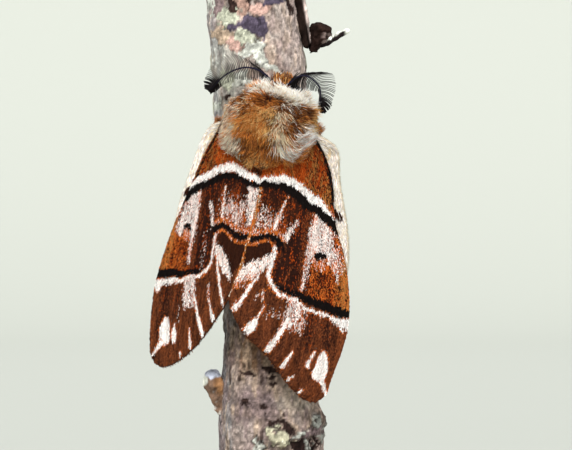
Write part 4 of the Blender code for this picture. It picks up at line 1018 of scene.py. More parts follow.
def thorax_coat(draw, count):
    """Paths (x, s, h) of the thorax's hair with their colours and places on its unwrap."""
    turn = np.arccos(draw.uniform(*np.cos(np.radians(THORAX_BARE)), count))
    spin = draw.uniform(-pi, pi, count)
    root = shell_points(THORAX_MIDDLE, THORAX_CORE, turn, spin)
    edge_x, edge_s = np.array(REAR_EDGE).T
    hidden = (root[:, 2] > 0.6) & (root[:, 1] > np.interp(root[:, 0], edge_x, edge_s) - 0.2)
    keep = ((np.abs(spin) < BELLY_FROM) | (draw.random(count) < BELLY_SHARE)) & ~hidden
    turn, spin, root = turn[keep], spin[keep], root[keep]
    count = len(turn)
    collar = root[:, 1] < COLLAR_FRONT
    sweep = np.where(collar, draw.uniform(*COLLAR_SWEEP, count), draw.uniform(*BACK_SWEEP, count))
    twist = draw.normal(0, 0.15, count) + 0.08 * noise(root, 0.9, 45)
    drift = np.where(np.cos(turn) < 0, 0.12, -0.02)
    lift = draw.normal(1.0, 0.15, count) + 0.16 * noise(root, 0.7, 44)
    for parting in PARTINGS:
        apart = root[:, 0] - parting - PARTING_SLANT * root[:, 1]
        lift = lift - PARTING_DEEP * np.exp(-(apart / PARTING_WIDE) ** 2) * ~collar
    lift = lift * (1 - 0.4 * step(root[:, 0], -1.2, -2.4) * step(root[:, 1], -1.9, -2.8))
    lift = lift * (1 - 0.3 * step(root[:, 0], -2.2, -3.4))
    long = draw.uniform(0.75, 1.1, count)
    path = []
    for part, share in THORAX_RISE:
        at = np.clip(turn + sweep * part * long, 0.05, pi - 0.1)
        around = spin * (1 + drift * part) + twist * part / np.maximum(np.sin(turn), 0.35)
        path.append(between(THORAX_MIDDLE, THORAX_CORE, THORAX_TIPS, at, around, share * lift))
    path = np.stack(path, axis=1)
    tints = coat_colours(root[:, 0], root[:, 1], root[:, 2], spin, draw)
    for tufts in (BIG_TUFTS, SMALL_TUFTS):
        path = clumped(path, root, *tufts, draw)
    path[..., 0] += np.maximum(draw.uniform(-4.9, -4.0, (count, 1)) - path[..., 0], 0) * 0.4
    outwards = np.linspace(0, 1, path.shape[1])
    path[..., 0] -= 0.5 * (step(root[:, 0], -0.8, -2.2) * step(root[:, 1], 0.2, 1.2))[:, None] * outwards
    spread = step(root[:, 0], 1.4, 3.0) * step(root[:, 2], 0.2, 1.0) * step(root[:, 1], -2.2, -0.6)
    path[..., 0] += RIGHT_SPREAD * spread[:, None] * outwards
    upper = (root[:, 2] > 0.6)[:, None]
    edge = np.interp(path[..., 0], edge_x, edge_s) + draw.uniform(-0.6, 0.5, (count, 1))
    edge = edge + 0.9 * noise(root, 0.45, 47)[:, None]
    path[..., 1] -= np.where(upper, np.maximum(path[..., 1] - edge, 0) * 0.6, 0)
    x, s = path[..., 0], path[..., 1]
    side = np.where(x > 0.3, fore_height("right", x, s), fore_height("left", x, s))
    over_wing = (s > 0.8) | ((s > -1.3) & (np.abs(x) > 2.4))
    bed = np.where(over_wing & upper, side + 0.12 + 0.9 * draw.random((count, 1)) ** 1.5, -99)
    bed[:, 0] = -99
    path[..., 2] = np.maximum(path[..., 2], bed)
    return path, tints, unwrapped(spin, turn / pi * 0.33 + 0.33)


def head_coat(draw, count):
    """Paths, colours and places on the bake map of the head's hair, which leaves the eyes free."""
    turn = np.arccos(draw.uniform(-1, cos(radians(8)), count))
    spin = draw.uniform(-pi, pi, count)
    root = shell_points(HEAD_CENTRE, HEAD_CORE, turn, spin)
    eye = (np.abs(root[:, 0]) > 0.9) & (np.abs(root[:, 1] - HEAD_CENTRE[1]) < 0.75)
    eye &= np.abs(root[:, 2] - HEAD_CENTRE[2] + 0.2) < 0.75
    turn, spin, root = turn[~eye], spin[~eye], root[~eye]
    count = len(turn)
    long = draw.uniform(0.7, 1.15, count)
    sweep = -0.55 * long
    path = []
    for part, share in HEAD_RISE:
        at = np.clip(turn + sweep * part, 0.03, pi - 0.03)
        path.append(between(HEAD_CENTRE, HEAD_CORE, HEAD_TIPS, at, spin, share * long))
    path = clumped(np.stack(path, axis=1), root, *HEAD_TUFTS, draw)
    tints = np.tile(FUR_OCHRE * 0.7, (count, 1))
    pick = rank(noise(root, 0.3, 46) + 0.3 * draw.normal(size=count))
    tints[pick < 0.5] = FUR_DARK
    tints[pick > 0.85] = FUR_GOLD
    low = root[:, 2] < HEAD_CENTRE[2] - 0.4
    tints[low & (pick > 0.5)] = FUR_BELLY
    return path, tints, unwrapped(spin, turn / pi * 0.3)


def abdomen_coat(draw, count):
    """Paths, colours and places on the bake map of the abdomen's hair, which lies back in rings."""
    s = 3.2 + 13.0 * draw.random(count) ** 0.9
    spin = draw.uniform(-pi, pi, count)
    ring = 0.25 * np.cos(2 * pi * s / 2.1)
    path = []
    long = draw.uniform(0.8, 1.3, count)
    for part, lift in ABDOMEN_RISE:
        at = s + 1.7 * part * long
        middle, radius = abdomen_at(at)
        reach = np.maximum(radius, 0.25) * (lift + 0.05 * ring * part)
        path.append(np.stack([reach * np.sin(spin), at, middle + reach * np.cos(spin)], axis=-1))
    path = np.stack(path, axis=1)
    path = clumped(path, path[:, 0].copy(), *ABDOMEN_TUFTS, draw)
    tints = np.tile(FUR_BELLY, (count, 1))
    pick = draw.random(count)
    tints[pick < 0.35] = FUR_OCHRE * 0.7
    tints[pick > 0.8] = FUR_PALE * 0.8
    tints[(ring < -0.15) & (pick < 0.6)] = FUR_DARK
    return path, tints, unwrapped(spin, 0.67 + 0.33 * (s - 3) / 15)


def ball_angles(last, around, rows):
    """Angles from a ball's front pole up to the last one, and round it, for a grid of points."""
    return np.meshgrid(np.linspace(0.02, last, rows), np.linspace(0, 2 * pi, around, endpoint=False))


SKIN_GRID = (64, 40)
SKIN_GRAIN = 0.22
NECK_CENTRE = np.array([0, -3.6, -0.6])
NECK_CORE = (1.3, 1.3, 1.2, 1.3)


def skin_parts():
    """Points and faces of closed balls for thorax, head and neck, and of the abdomen."""
    around, rows = SKIN_GRID
    turns, spins = ball_angles(pi - 0.02, around, rows)
    parts = [shell_points(middle, core, turns, spins) for middle, core in
             ((THORAX_MIDDLE, THORAX_CORE), (HEAD_CENTRE, HEAD_CORE), (NECK_CENTRE, NECK_CORE))]
    s = np.linspace(ABDOMEN[0][0], ABDOMEN[-1][0], rows)
    middle, radius = abdomen_at(s)
    ring = spins[:, :1]
    parts.append(np.stack([radius * np.sin(ring), np.broadcast_to(s, (around, rows)),
                           middle + radius * np.cos(ring)], axis=-1))
    points, faces, first = [], [], 0
    for part in parts:
        flat = part.reshape(-1, 3)
        faces += (round_faces(around, rows) + first).tolist()
        points.append(flat)
        for k, row in enumerate((0, rows - 1)):
            loop = np.arange(around) * rows + row
            points.append(flat[loop].mean(axis=0)[None])
            faces += [(a + first, b + first, first + len(flat) + k) for a, b in zip(loop, np.roll(loop, -1))]
        first += len(flat) + 2
    return np.concatenate(points), faces


def make_skin():
    """One skin under the coat of head, thorax and abdomen, in the coat's markings darkened to 0.45 as
    painted shade under the hair.
    """
    points, faces = skin_parts()
    mesh = bpy.data.meshes.new("skin_parts")
    mesh.from_pydata((placed(points) * MM).tolist(), [], faces)
    parts = add_object("skin_parts", mesh)
    solid = parts.modifiers.new("One", "REMESH")
    solid.mode = "VOXEL"
    solid.voxel_size = SKIN_GRAIN * MM
    ease = parts.modifiers.new("Ease", "SMOOTH")
    ease.iterations = 10
    graph = bpy.context.evaluated_depsgraph_get()
    done = bpy.data.meshes.new_from_object(parts.evaluated_get(graph))
    bpy.data.objects.remove(parts, do_unlink=True)
    done.name = "body_skin"
    skin = add_object("body_skin", done)
    places = np.empty(len(done.vertices) * 3, np.float32)
    done.vertices.foreach_get("co", places)
    local = places.reshape(-1, 3) / MM - THORAX_CENTRE
    x, s, h = local @ RIGHT, local @ BACKWARD, local @ OUTWARD
    spin = np.arctan2(x, h - THORAX_MIDDLE[2])
    draw = np.random.default_rng(2)
    # the coat's markings at 0.45: painted shade where the skin shows between the hairs
    add_markings(done, coat_colours(x, s, h, spin, draw) * 0.45)
    done.materials.clear()
    done.materials.append(coat_material("body skin", 0.85, 0.0, 0.15, 0.4))
    done.shade_smooth()
    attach(skin, BODY)
    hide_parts("thorax", "head", "abdomen")


# How a hair's colour changes from its root to its tip: the dark roots are painted shade deep in the coat,
# and the pale, bluish tips are partly the hair's own paler tips and partly painted light
HAIR_SHADING_RAMP = np.array([(0.28, 0.22, 0.16), (0.70, 0.60, 0.50), (1.08, 1.02, 0.94), (1.35, 1.42, 1.55)])


# Coats: name, growth, number of hairs, their radius, slot, seed
COATS = [("thorax_coat", thorax_coat, 46000, 0.030, "coat_ochre", 51),
         ("head_coat", head_coat, 6500, 0.028, "coat_brown", 52),
         ("abdomen_coat", abdomen_coat, 7000, 0.036, "coat_grey", 53)]
PIECE_LIMIT = 12000


def make_coat():
    finish = coat_material("moth hair", 0.6, 0.08, 0.2, 0.18)
    for name, grow, count, thick, slot, seed in COATS:
        draw = np.random.default_rng(seed)
        path, tints, spots = grow(draw, count)
        shade = draw.uniform(0.65, 1.3, len(path))[:, None, None]
        # dark roots as painted shade within the coat, lighter tips partly painted light
        tints = np.minimum(tints[:, None] * shade * HAIR_SHADING_RAMP[None], 0.95)
        radius = thick * draw.uniform(0.75, 1.25, len(path))[:, None] * np.array([[1.0, 0.95, 0.7]])
        place = placed(path)
        for piece, part in in_pieces(name, PIECE_LIMIT, len(path)):
            strands(piece, place[part], radius[part], tints[part], spots[part], finish, draw)


def tube_points(path, radius, sides):
    """Rings round a path, with the path's frames carried along it."""
    ahead = unit(np.gradient(path, axis=0))
    across = unit(np.cross(ahead[0], np.array([0.3, 0.5, 0.8])))
    rings = []
    for middle, way, wide in zip(path, ahead, radius):
        across = unit(across - way * (across @ way))
        third = np.cross(way, across)
        turn = 2 * pi * np.arange(sides) / sides
        rings.append(middle + wide * (np.cos(turn)[:, None] * across + np.sin(turn)[:, None] * third))
    return np.stack(rings, axis=1)


def tube_mesh(path, radius, sides, first=0):
    """Points and faces of a closed tube along a path."""
    rings = tube_points(path, radius, sides)
    points = np.concatenate([rings.reshape(-1, 3), path[:1], path[-1:]])
    return points, closed_faces(sides, len(path)) + first


def join_tubes(name, tubes, finish, colours):
    """One object from many closed tubes."""
    points, faces, tints, first = [], [], [], 0
    for (path, radius, sides), tint in zip(tubes, colours):
        new_points, new_faces = tube_mesh(path, radius, sides, first)
        points.append(new_points)
        faces.append(new_faces)
        tints.append(np.tile(tint, (len(new_points), 1)))
        first += len(new_points)
    return build(name, np.concatenate(points), np.concatenate(faces), finish, np.concatenate(tints),
                 smooth=True)


def antenna_ray(shaft, tips, f, draw):
    """One bowed ray: its middle line, radii and number of sides."""
    at = FIRST_RAY + (LAST_RAY - FIRST_RAY) * f
    root = along_line(shaft, [at])[0]
    tip = along_line(tips, [f])[0] + draw.normal(0, 0.03, 3)
    ahead = along_line(shaft, [min(at + 0.03, 1.0)])[0] - root
    back = ahead / max(np.linalg.norm(ahead), 1e-6) * RAY_BOW * np.linalg.norm(tip - root)
    middle = (root + tip) / 2 - back
    t = np.linspace(0, 1, RAY_POINTS)[:, None]
    bow = (1 - t) ** 2 * root + 2 * t * (1 - t) * middle + t ** 2 * tip
    thick = RAY_RADIUS * (1 + 1.3 * float(step(f, 0.72, 0.95)) + 0.4 * float(step(f, 0.3, 0.1)))
    return placed(bow), thick * (1 - 0.42 * t[:, 0]), 4


def make_antennae():
    """Feathery antennae: a near-black shaft with a painted bluish sheen, and two rows of fine curved rays."""
    finish = coat_material("antenna", 0.45, 0.1, 0.15, 0.3)
    # the shaft's colour is its own near-black with a painted bluish sheen
    dark, shine = srgb(16, 11, 12), srgb(30, 27, 46)
    share = np.linspace(0, 1, 60)
    for side, parts in ANTENNAE.items():
        tubes = [(placed(along_line(parts["shaft"], share)), SHAFT_RADIUS * (1 - 0.6 * share), 10)]
        colours = [shine]
        draw = np.random.default_rng(61)
        for row in ("outer", "inner"):
            for f in 1 - (1 - np.linspace(0, 1, RAYS)) ** RAY_CROWDING:
                tubes.append(antenna_ray(parts["shaft"], parts[row], f, draw))
                colours.append(dark * draw.uniform(0.7, 1.3))
        thing = join_tubes("antenna_%s_plume" % side, tubes, finish, colours)
        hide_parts("antenna_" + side)


def eye_material():
    made, shader = new_material("eye", {"Roughness": 0.22, "Coat Weight": 0.6})
    place = add_node(made, "TexCoord")
    cells = add_node(made, "TexVoronoi", {"Scale": 1 / (EYE_FACET * MM)})
    tone = add_tones(made, (0.010, 0.007, 0.006), (0.035, 0.024, 0.018))
    bump = add_node(made, "Bump", {"Strength": 0.5, "Distance": 0.02 * MM})
    link(made, (place, "Object", cells, "Vector"), (cells, "Distance", tone, "Fac"),
         (tone, "Color", shader, "Base Color"), (cells, "Distance", bump, "Height"),
         (bump, "Normal", shader, "Normal"))
    return made


def make_eyes():
    """Dark domed eyes with a fine net of facets."""
    finish = eye_material()
    around, rows = EYE_GRID
    turn, spin = ball_angles(pi / 2, around, rows)
    rim, hub = np.arange(around) * rows + rows - 1, np.arange(around) + around * rows
    lid = np.stack([rim, np.roll(rim, -1), np.roll(hub, -1), hub], axis=-1)
    for side, sign in SIDES.items():
        x = sign * (EYE_SIDE - EYE_SUNK + (EYE_BULGE + EYE_SUNK) * np.cos(turn))
        s = HEAD_CENTRE[1] + 0.15 + EYE_RADIUS * np.sin(turn) * np.cos(spin)
        h = HEAD_CENTRE[2] - 0.2 + EYE_RADIUS * np.sin(turn) * np.sin(spin)
        points = np.concatenate([world(x, s, h).reshape(-1, 3), world(x[:, -1] * 0.8, s[:, -1], h[:, -1])])
        faces = round_faces(around, rows)
        if sign > 0:
            faces = faces[:, ::-1]
        dome = build("eye_%s_dome" % side, points, np.concatenate([faces, lid]), finish, smooth=True)
        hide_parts("eye_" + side)


# Legs: root as angles from the thorax's front and from its belly line, then knee, ankle and foot,
# each as an angle round the stem from the viewer's side and a height; the knee also stands clear
LEGS = {
    "fore_left": ((64, -26), (-3, 56.2, 1.7), (-12, 55.2), (-15, 53.4)),
    "fore_right": ((64, 26), (33, 55.4, 3.2), (38, 54.0), (36, 56.0)),
    "mid_left": ((88, -36), (-38, 52.9, 2.5), (-62, 50.6), (-78, 49.0)),
    "mid_right": ((88, 36), (47, 52.2, 3.5), (66, 50.0), (80, 48.2)),
    "hind_left": ((114, -34), (-40, 49.4, 2.3), (-66, 46.0), (-80, 44.0)),
    "hind_right": ((114, 34), (46, 48.6, 3.2), (66, 45.0), (78, 43.0)),
}
# Radii of a leg's three parts, and the points of their middle lines
FEMUR, TIBIA, TARSUS = 0.40, 0.30, 0.18
LEG_POINTS = (16, 14, 31)
LEG_HAIRS = 1100
# The reach of the solids' thorax, on which the legs are rooted
CAD_CORE = (3.75, 4.1, 3.6, 3.8)

# Stem, as (height, middle across, radius), and its swellings: angle, height, rise, size
STEM = [(15.3, 0.0, 5.5), (20.5, -0.2, 5.6), (24.0, -0.4, 5.15), (30.0, -0.35, 4.8), (42.0, -0.8, 4.85),
        (52.0, -1.2, 4.95), (58.7, -1.47, 5.0), (61.0, -1.67, 4.95), (65.7, -2.2, 4.85), (68.6, -2.5, 4.8)]
SWELLINGS = [(78, 21.4, 0.55, 1.6), (10, 19.6, 0.45, 2.0), (-70, 63.5, 0.3, 2.4), (150, 33.0, 0.5, 3.0)]
STRIP = [((2.6, -1.0, 67.6), 0.75), ((3.0, -1.0, 65.2), 0.8), ((3.4, -1.0, 63.0), 0.75),
         ((3.8, -1.0, 60.9), 0.5)]
BUD_SCALE = [((4.1, -0.9, 60.5), 0.45), ((4.6, -0.9, 61.4), 0.95), ((4.95, -0.9, 62.6), 1.15),
             ((5.15, -0.9, 63.7), 0.95)]
TWIG = [((4.6, -0.8, 61.2), 0.45), ((5.9, -0.8, 61.7), 0.38), ((7.2, -0.8, 62.4), 0.3),
        ((8.3, -0.8, 62.9), 0.27)]
LOW_BUD = [((-5.0, -0.8, 21.4), 0.45), ((-5.8, -0.9, 23.6), 0.85), ((-6.35, -1.0, 25.4), 1.15),
           ((-6.6, -1.0, 26.5), 0.8)]

BARK_TAN = srgb(196, 172, 156)
BARK_ROSE = srgb(214, 194, 186)
BARK_GREY = srgb(186, 180, 174)
BARK_BLUE = srgb(170, 178, 190)
BARK_BROWN = srgb(170, 126, 88)
BARK_DARK = srgb(62, 46, 42)
BARK_PURPLE = srgb(98, 88, 106)
BARK_PLATE = srgb(206, 168, 152)
BARK_PINK = srgb(244, 200, 186)
BARK_OCHRE = srgb(230, 202, 176)
BARK_PALE = srgb(216, 198, 180)
BARK_MAUVE = srgb(160, 138, 138)
LICHEN_AND_TWIG_LIGHT = srgb(240, 242, 230)
LICHEN_GREEN = srgb(218, 220, 198)
LICHEN_LEAF = srgb(244, 238, 206)
WOOD_DARK = srgb(34, 24, 20)

# Broad tones of the stem's front, as the view shows them: colour, middle (across, height), half
# width and half height, strength
TONES = [
    (BARK_ROSE, (3.4, 62.5), (3.6, 7.0), 0.8),
    (LICHEN_AND_TWIG_LIGHT, (-5.0, 58.4), (3.2, 4.4), 0.6),
    (BARK_GREY, (-4.6, 34.0), (1.8, 7.0), 0.7),
    (BARK_BROWN, (-2.3, 28.4), (2.6, 2.8), 0.8),
    (BARK_MAUVE, (-1.9, 23.0), (3.2, 2.4), 0.8),
    (BARK_PALE, (2.9, 23.9), (2.8, 2.4), 0.8),
    (BARK_ROSE, (-3.1, 19.3), (2.2, 2.2), 0.6),
]

# Plates, lichens and crevices, which meet one another in crooked seams: colour, middle, half width
# and half height, lean, rise. The dark crevices, which sink, are painted shade in their hollows
CRUSTS = [
    (LICHEN_AND_TWIG_LIGHT, (-6.3, 65.8), (0.5, 1.3), 0, 0.06),
    (BARK_MAUVE, (-5.6, 65.3), (1.0, 1.1), 20, 0.10),
    (LICHEN_GREEN, (-4.8, 64.2), (1.0, 1.1), -20, 0.14),
    (BARK_DARK, (-4.1, 65.5), (0.3, 1.2), 0, -0.12),
    (BARK_PLATE, (-3.2, 65.3), (0.85, 1.0), 0, 0.18),
    (BARK_DARK, (-2.4, 65.4), (0.22, 1.0), 0, -0.12),
    (BARK_PINK, (-1.3, 64.95), (1.0, 0.62), 5, 0.12),
    (BARK_PURPLE, (-2.2, 63.3), (1.6, 0.9), -12, 0.12),
    (BARK_PURPLE, (-1.2, 62.9), (0.55, 1.2), 10, 0.12),
    (BARK_PURPLE, (-4.25, 63.05), (1.0, 0.42), 8, 0.10),
    (BARK_PURPLE, (0.0, 65.8), (1.5, 0.5), 12, 0.10),
    (BARK_DARK, (1.7, 65.6), (0.35, 1.1), 20, -0.12),
    (BARK_OCHRE, (-5.1, 62.2), (1.2, 1.0), 0, 0.10),
    (BARK_PINK, (-4.2, 61.3), (1.1, 0.6), -15, 0.08),
    (LICHEN_GREEN, (-2.8, 62.0), (1.0, 0.8), 0, 0.12),
    (LICHEN_AND_TWIG_LIGHT, (-2.2, 60.7), (1.35, 0.72), 30, 0.16),
    (LICHEN_AND_TWIG_LIGHT, (-1.3, 59.7), (0.62, 1.1), 22, 0.18),
    (LICHEN_AND_TWIG_LIGHT, (-0.3, 58.6), (1.3, 0.5), -12, 0.20),
    (LICHEN_AND_TWIG_LIGHT, (-3.35, 57.5), (0.9, 0.75), 0, 0.14),
    (LICHEN_GREEN, (-4.8, 57.4), (1.1, 1.1), 0, 0.08),
    (LICHEN_AND_TWIG_LIGHT, (-2.2, 57.0), (0.9, 0.5), -20, 0.10),
    (BARK_DARK, (-4.7, 55.75), (0.5, 0.32), 0, -0.06),
    (LICHEN_AND_TWIG_LIGHT, (-5.75, 54.85), (0.45, 0.5), 0, 0.08),
    (BARK_DARK, (-0.2, 26.3), (0.9, 0.4), -30, -0.10),
    (BARK_DARK, (0.4, 25.3), (0.5, 0.35), 20, -0.10),
    (BARK_DARK, (-2.6, 26.4), (0.8, 0.2), 0, -0.08),
    (BARK_DARK, (-3.0, 23.4), (0.3, 0.5), 20, -0.08),
    (BARK_DARK, (-1.0, 22.6), (0.5, 0.25), 0, -0.08),
    (BARK_DARK, (1.6, 20.9), (1.1, 0.55), -25, -0.20),
    (BARK_DARK, (0.2, 21.3), (0.7, 0.3), 10, -0.14),
    (BARK_DARK, (2.9, 18.5), (0.7, 0.9), 0, -0.20),
    (BARK_DARK, (4.2, 18.7), (0.4, 0.8), 0, -0.18),
    (BARK_MAUVE, (4.3, 19.9), (1.0, 0.5), 10, 0.18),
    (LICHEN_LEAF, (0.9, 19.6), (1.2, 0.75), -15, 0.38),
    (LICHEN_LEAF, (0.0, 20.3), (0.6, 0.55), 20, 0.30),
    (LICHEN_LEAF, (1.9, 19.0), (0.6, 0.45), 0, 0.34),
    (LICHEN_AND_TWIG_LIGHT, (2.9, 20.0), (0.65, 0.35), 20, 0.26),
    (LICHEN_AND_TWIG_LIGHT, (4.8, 21.0), (0.45, 0.8), -10, 0.30),
    (LICHEN_AND_TWIG_LIGHT, (3.5, 18.6), (0.25, 0.85), 0, 0.28),
    (LICHEN_AND_TWIG_LIGHT, (5.1, 19.2), (0.3, 0.5), 0, 0.22),
    (LICHEN_AND_TWIG_LIGHT, (-1.4, 18.3), (0.7, 0.5), 20, 0.30),
    (LICHEN_AND_TWIG_LIGHT, (-1.9, 19.1), (0.22, 0.5), 10, 0.30),
]
BARK_GRID = (260, 330)
SAWN_RINGS = 12
SEAM, SEAM_DEEP = 0.09, 0.06
# The rise that each size of the bark's noise gives, from the broadest to the finest, and its cracks
BARK_RISES = (0.10, 0.12, 0.07, 0.04, -0.10)
BACK_LICHEN_RISE = 0.14
BARK_SHADE = 0.68
# Small patches all over the bark: colour, size, seed, where the noise starts to show, strength
PATCHES = [(BARK_OCHRE, 0.6, 71, 0.12, 0.5), (BARK_MAUVE, 0.7, 72, 0.05, 0.5),
           (BARK_DARK, 0.5, 73, 0.28, 0.65)]

# Patches of the lower bud: colour, middle, half width and half height
BUD_PATCHES = [(BARK_BROWN, (-5.7, 25.0), (0.5, 1.2)), (srgb(186, 192, 208), (-6.3, 26.4), (1.3, 0.7)),
               (LICHEN_AND_TWIG_LIGHT, (-7.4, 25.4), (0.45, 0.6))]


def stem_at(z):
    table = np.array(STEM)
    return np.interp(z, table[:, 0], table[:, 1]), np.interp(z, table[:, 0], table[:, 2])


def swelling(turn, z):
    rise = 0.0
    for angle, height, lift, size in SWELLINGS:
        apart = (turn - radians(angle) + pi) % (2 * pi) - pi
        near = (apart * 5 / size) ** 2 + ((z - height) / size) ** 2
        rise = rise + lift * np.maximum(0.0, 1 - near) ** 2
    return rise


def on_stem(angle, height, clear):
    """A point beside the stem, at an angle round it from the viewer's side."""
    turn = radians(angle)
    middle, radius = stem_at(height)
    reach = radius + clear + float(swelling(turn, height))
    return np.array([middle + reach * sin(turn), -reach * cos(turn), height])


def belly_point(turn, spin, clear):
    """A point off the thorax's underside, by angles from its front and from its belly line."""
    at = shell_points(THORAX_MIDDLE, CAD_CORE, np.array(radians(turn)), np.array(radians(180 - spin)))
    share = (at - THORAX_MIDDLE) / np.array([CAD_CORE[1], CAD_CORE[0], CAD_CORE[3]])
    off = np.abs(share) ** (BODY_BOX - 1) * np.sign(share) / np.array([CAD_CORE[1], CAD_CORE[0], CAD_CORE[3]])
    at = at + unit(off) * clear
    return placed(at)


def leg_parts(root, knee, ankle, foot):
    """A leg's upper part, lower part and foot as middle line, radii and sides, and its two claws."""
    hip, bend = belly_point(*root, FEMUR + 0.42), on_stem(*knee)
    heel, toe = on_stem(*ankle, TIBIA + 0.5), on_stem(*foot, TARSUS + 0.32)
    mid = on_stem((ankle[0] + foot[0]) / 2, (ankle[1] + foot[1]) / 2, TARSUS + 0.5)
    inward = unit(THORAX_CENTRE + OUTWARD - hip)
    knots = ([hip + inward * 0.9, hip, (hip + bend) / 2 + OUTWARD * 0.15, bend],
             [bend, (bend + heel) / 2 + OUTWARD * 0.1, heel], [heel, mid, toe])
    shares = [np.linspace(0, 1, count) for count in LEG_POINTS]
    radii = (FEMUR * (0.85 + 0.35 * np.sin(pi * shares[0])), TIBIA * (0.8 + 0.3 * shares[1]),
             TARSUS * (0.72 + 0.3 * np.abs(np.cos(pi * 5 * shares[2])) ** 0.5))
    lines = [along_line(knot, share) for knot, share in zip(knots, shares)]
    ahead, core = unit(toe - mid), np.array([stem_at(toe[2])[0], 0, toe[2]])
    across, down = unit(np.cross(ahead, toe - core)), unit(core - toe)
    t = np.linspace(0, 1, 8)
    claws = []
    for aside in (-across, across):
        claw = [toe, toe + ahead * 0.18 + aside * 0.1, toe + ahead * 0.3 + aside * 0.16 + down * 0.16]
        claws.append((along_line(claw, t), 0.05 * (1 - 0.8 * t), 6))
    return list(zip(lines, radii, (12, 12, 10))), claws


def make_legs():
    """Furred legs with ringed feet and a pair of claws each."""
    finish = coat_material("leg", 0.6, 0.1, 0.12, 0.3)
    draw = np.random.default_rng(71)
    tints = [FUR_BELLY * 0.5, FUR_OCHRE * 0.5, FUR_DARK, WOOD_DARK * 0.4, WOOD_DARK * 0.4]
    count, knee_at, ankle_at = LEG_HAIRS, LEG_POINTS[0], LEG_POINTS[0] + LEG_POINTS[1]
    for name, joints in LEGS.items():
        tubes, claws = leg_parts(*joints)
        limb = join_tubes("leg_%s_limb" % name, tubes + claws, finish, tints)
        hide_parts("leg_" + name)
        line, wide = (np.concatenate([tube[k] for tube in tubes]) for k in (0, 1))
        at = draw.integers(0, len(line) - 2, count)
        axis = unit(line[at + 1] - line[at] + TINY)
        out = unit(np.cross(axis, draw.normal(size=(count, 3))))
        root = line[at] + (line[at + 1] - line[at]) * draw.random((count, 1)) + out * wide[at][:, None] * 0.9
        long = np.where(at < knee_at, 0.8, np.where(at < ankle_at, 0.6, 0.2))[:, None]
        long = long * draw.uniform(0.6, 1.1, (count, 1))
        bend, tip = root + (axis * 0.45 + out * 0.22) * long, root + (axis * 0.95 + out * 0.3) * long
        path = np.stack([root, bend, tip], axis=1)
        shade = draw.uniform(0.5, 1.2, count)[:, None]
        tint = np.where((at < ankle_at)[:, None], FUR_OCHRE, FUR_BELLY) * shade
        spots = np.stack([at / len(line), draw.random(count)], axis=-1) * UV_REACH
        radius = np.full((count, 2), 0.028) * np.array([1.0, 0.8])
        strands("leg_%s_hair" % name, path, radius, np.repeat(tint[:, None], 3, axis=1), spots, finish, draw)


def bark_material(name, grain):
    """Bark: painted patches with fine speckle and a grainy, fissured bump."""
    made = coat_material(name, 0.9, 0.0, grain, 0.55)
    place = add_node(made, "TexCoord")
    stretch = add_node(made, "Mapping", {"Scale": (1.0, 1.0, 0.35)})
    coarse = add_node(made, "TexNoise", {"Scale": 1 / (0.5 * MM), "Detail": 8.0, "Roughness": 0.65})
    bump = add_node(made, "Bump", {"Strength": 0.6, "Distance": 0.12 * MM})
    link(made, (place, "Object", stretch, "Vector"), (stretch, "Vector", coarse, "Vector"),
         (coarse, "Fac", bump, "Height"), (bump, "Normal", made.node_tree.nodes["Principled BSDF"], "Normal"))
    return made


def crust_depth(x, z, middle, half, lean):
    """How deep places lie inside a leaning oval, negative outside it."""
    across, up = x - middle[0], z - middle[1]
    along = across * cos(radians(lean)) + up * sin(radians(lean))
    side = up * cos(radians(lean)) - across * sin(radians(lean))
    return (1 - np.hypot(along / half[0], side / half[1])) * min(half)


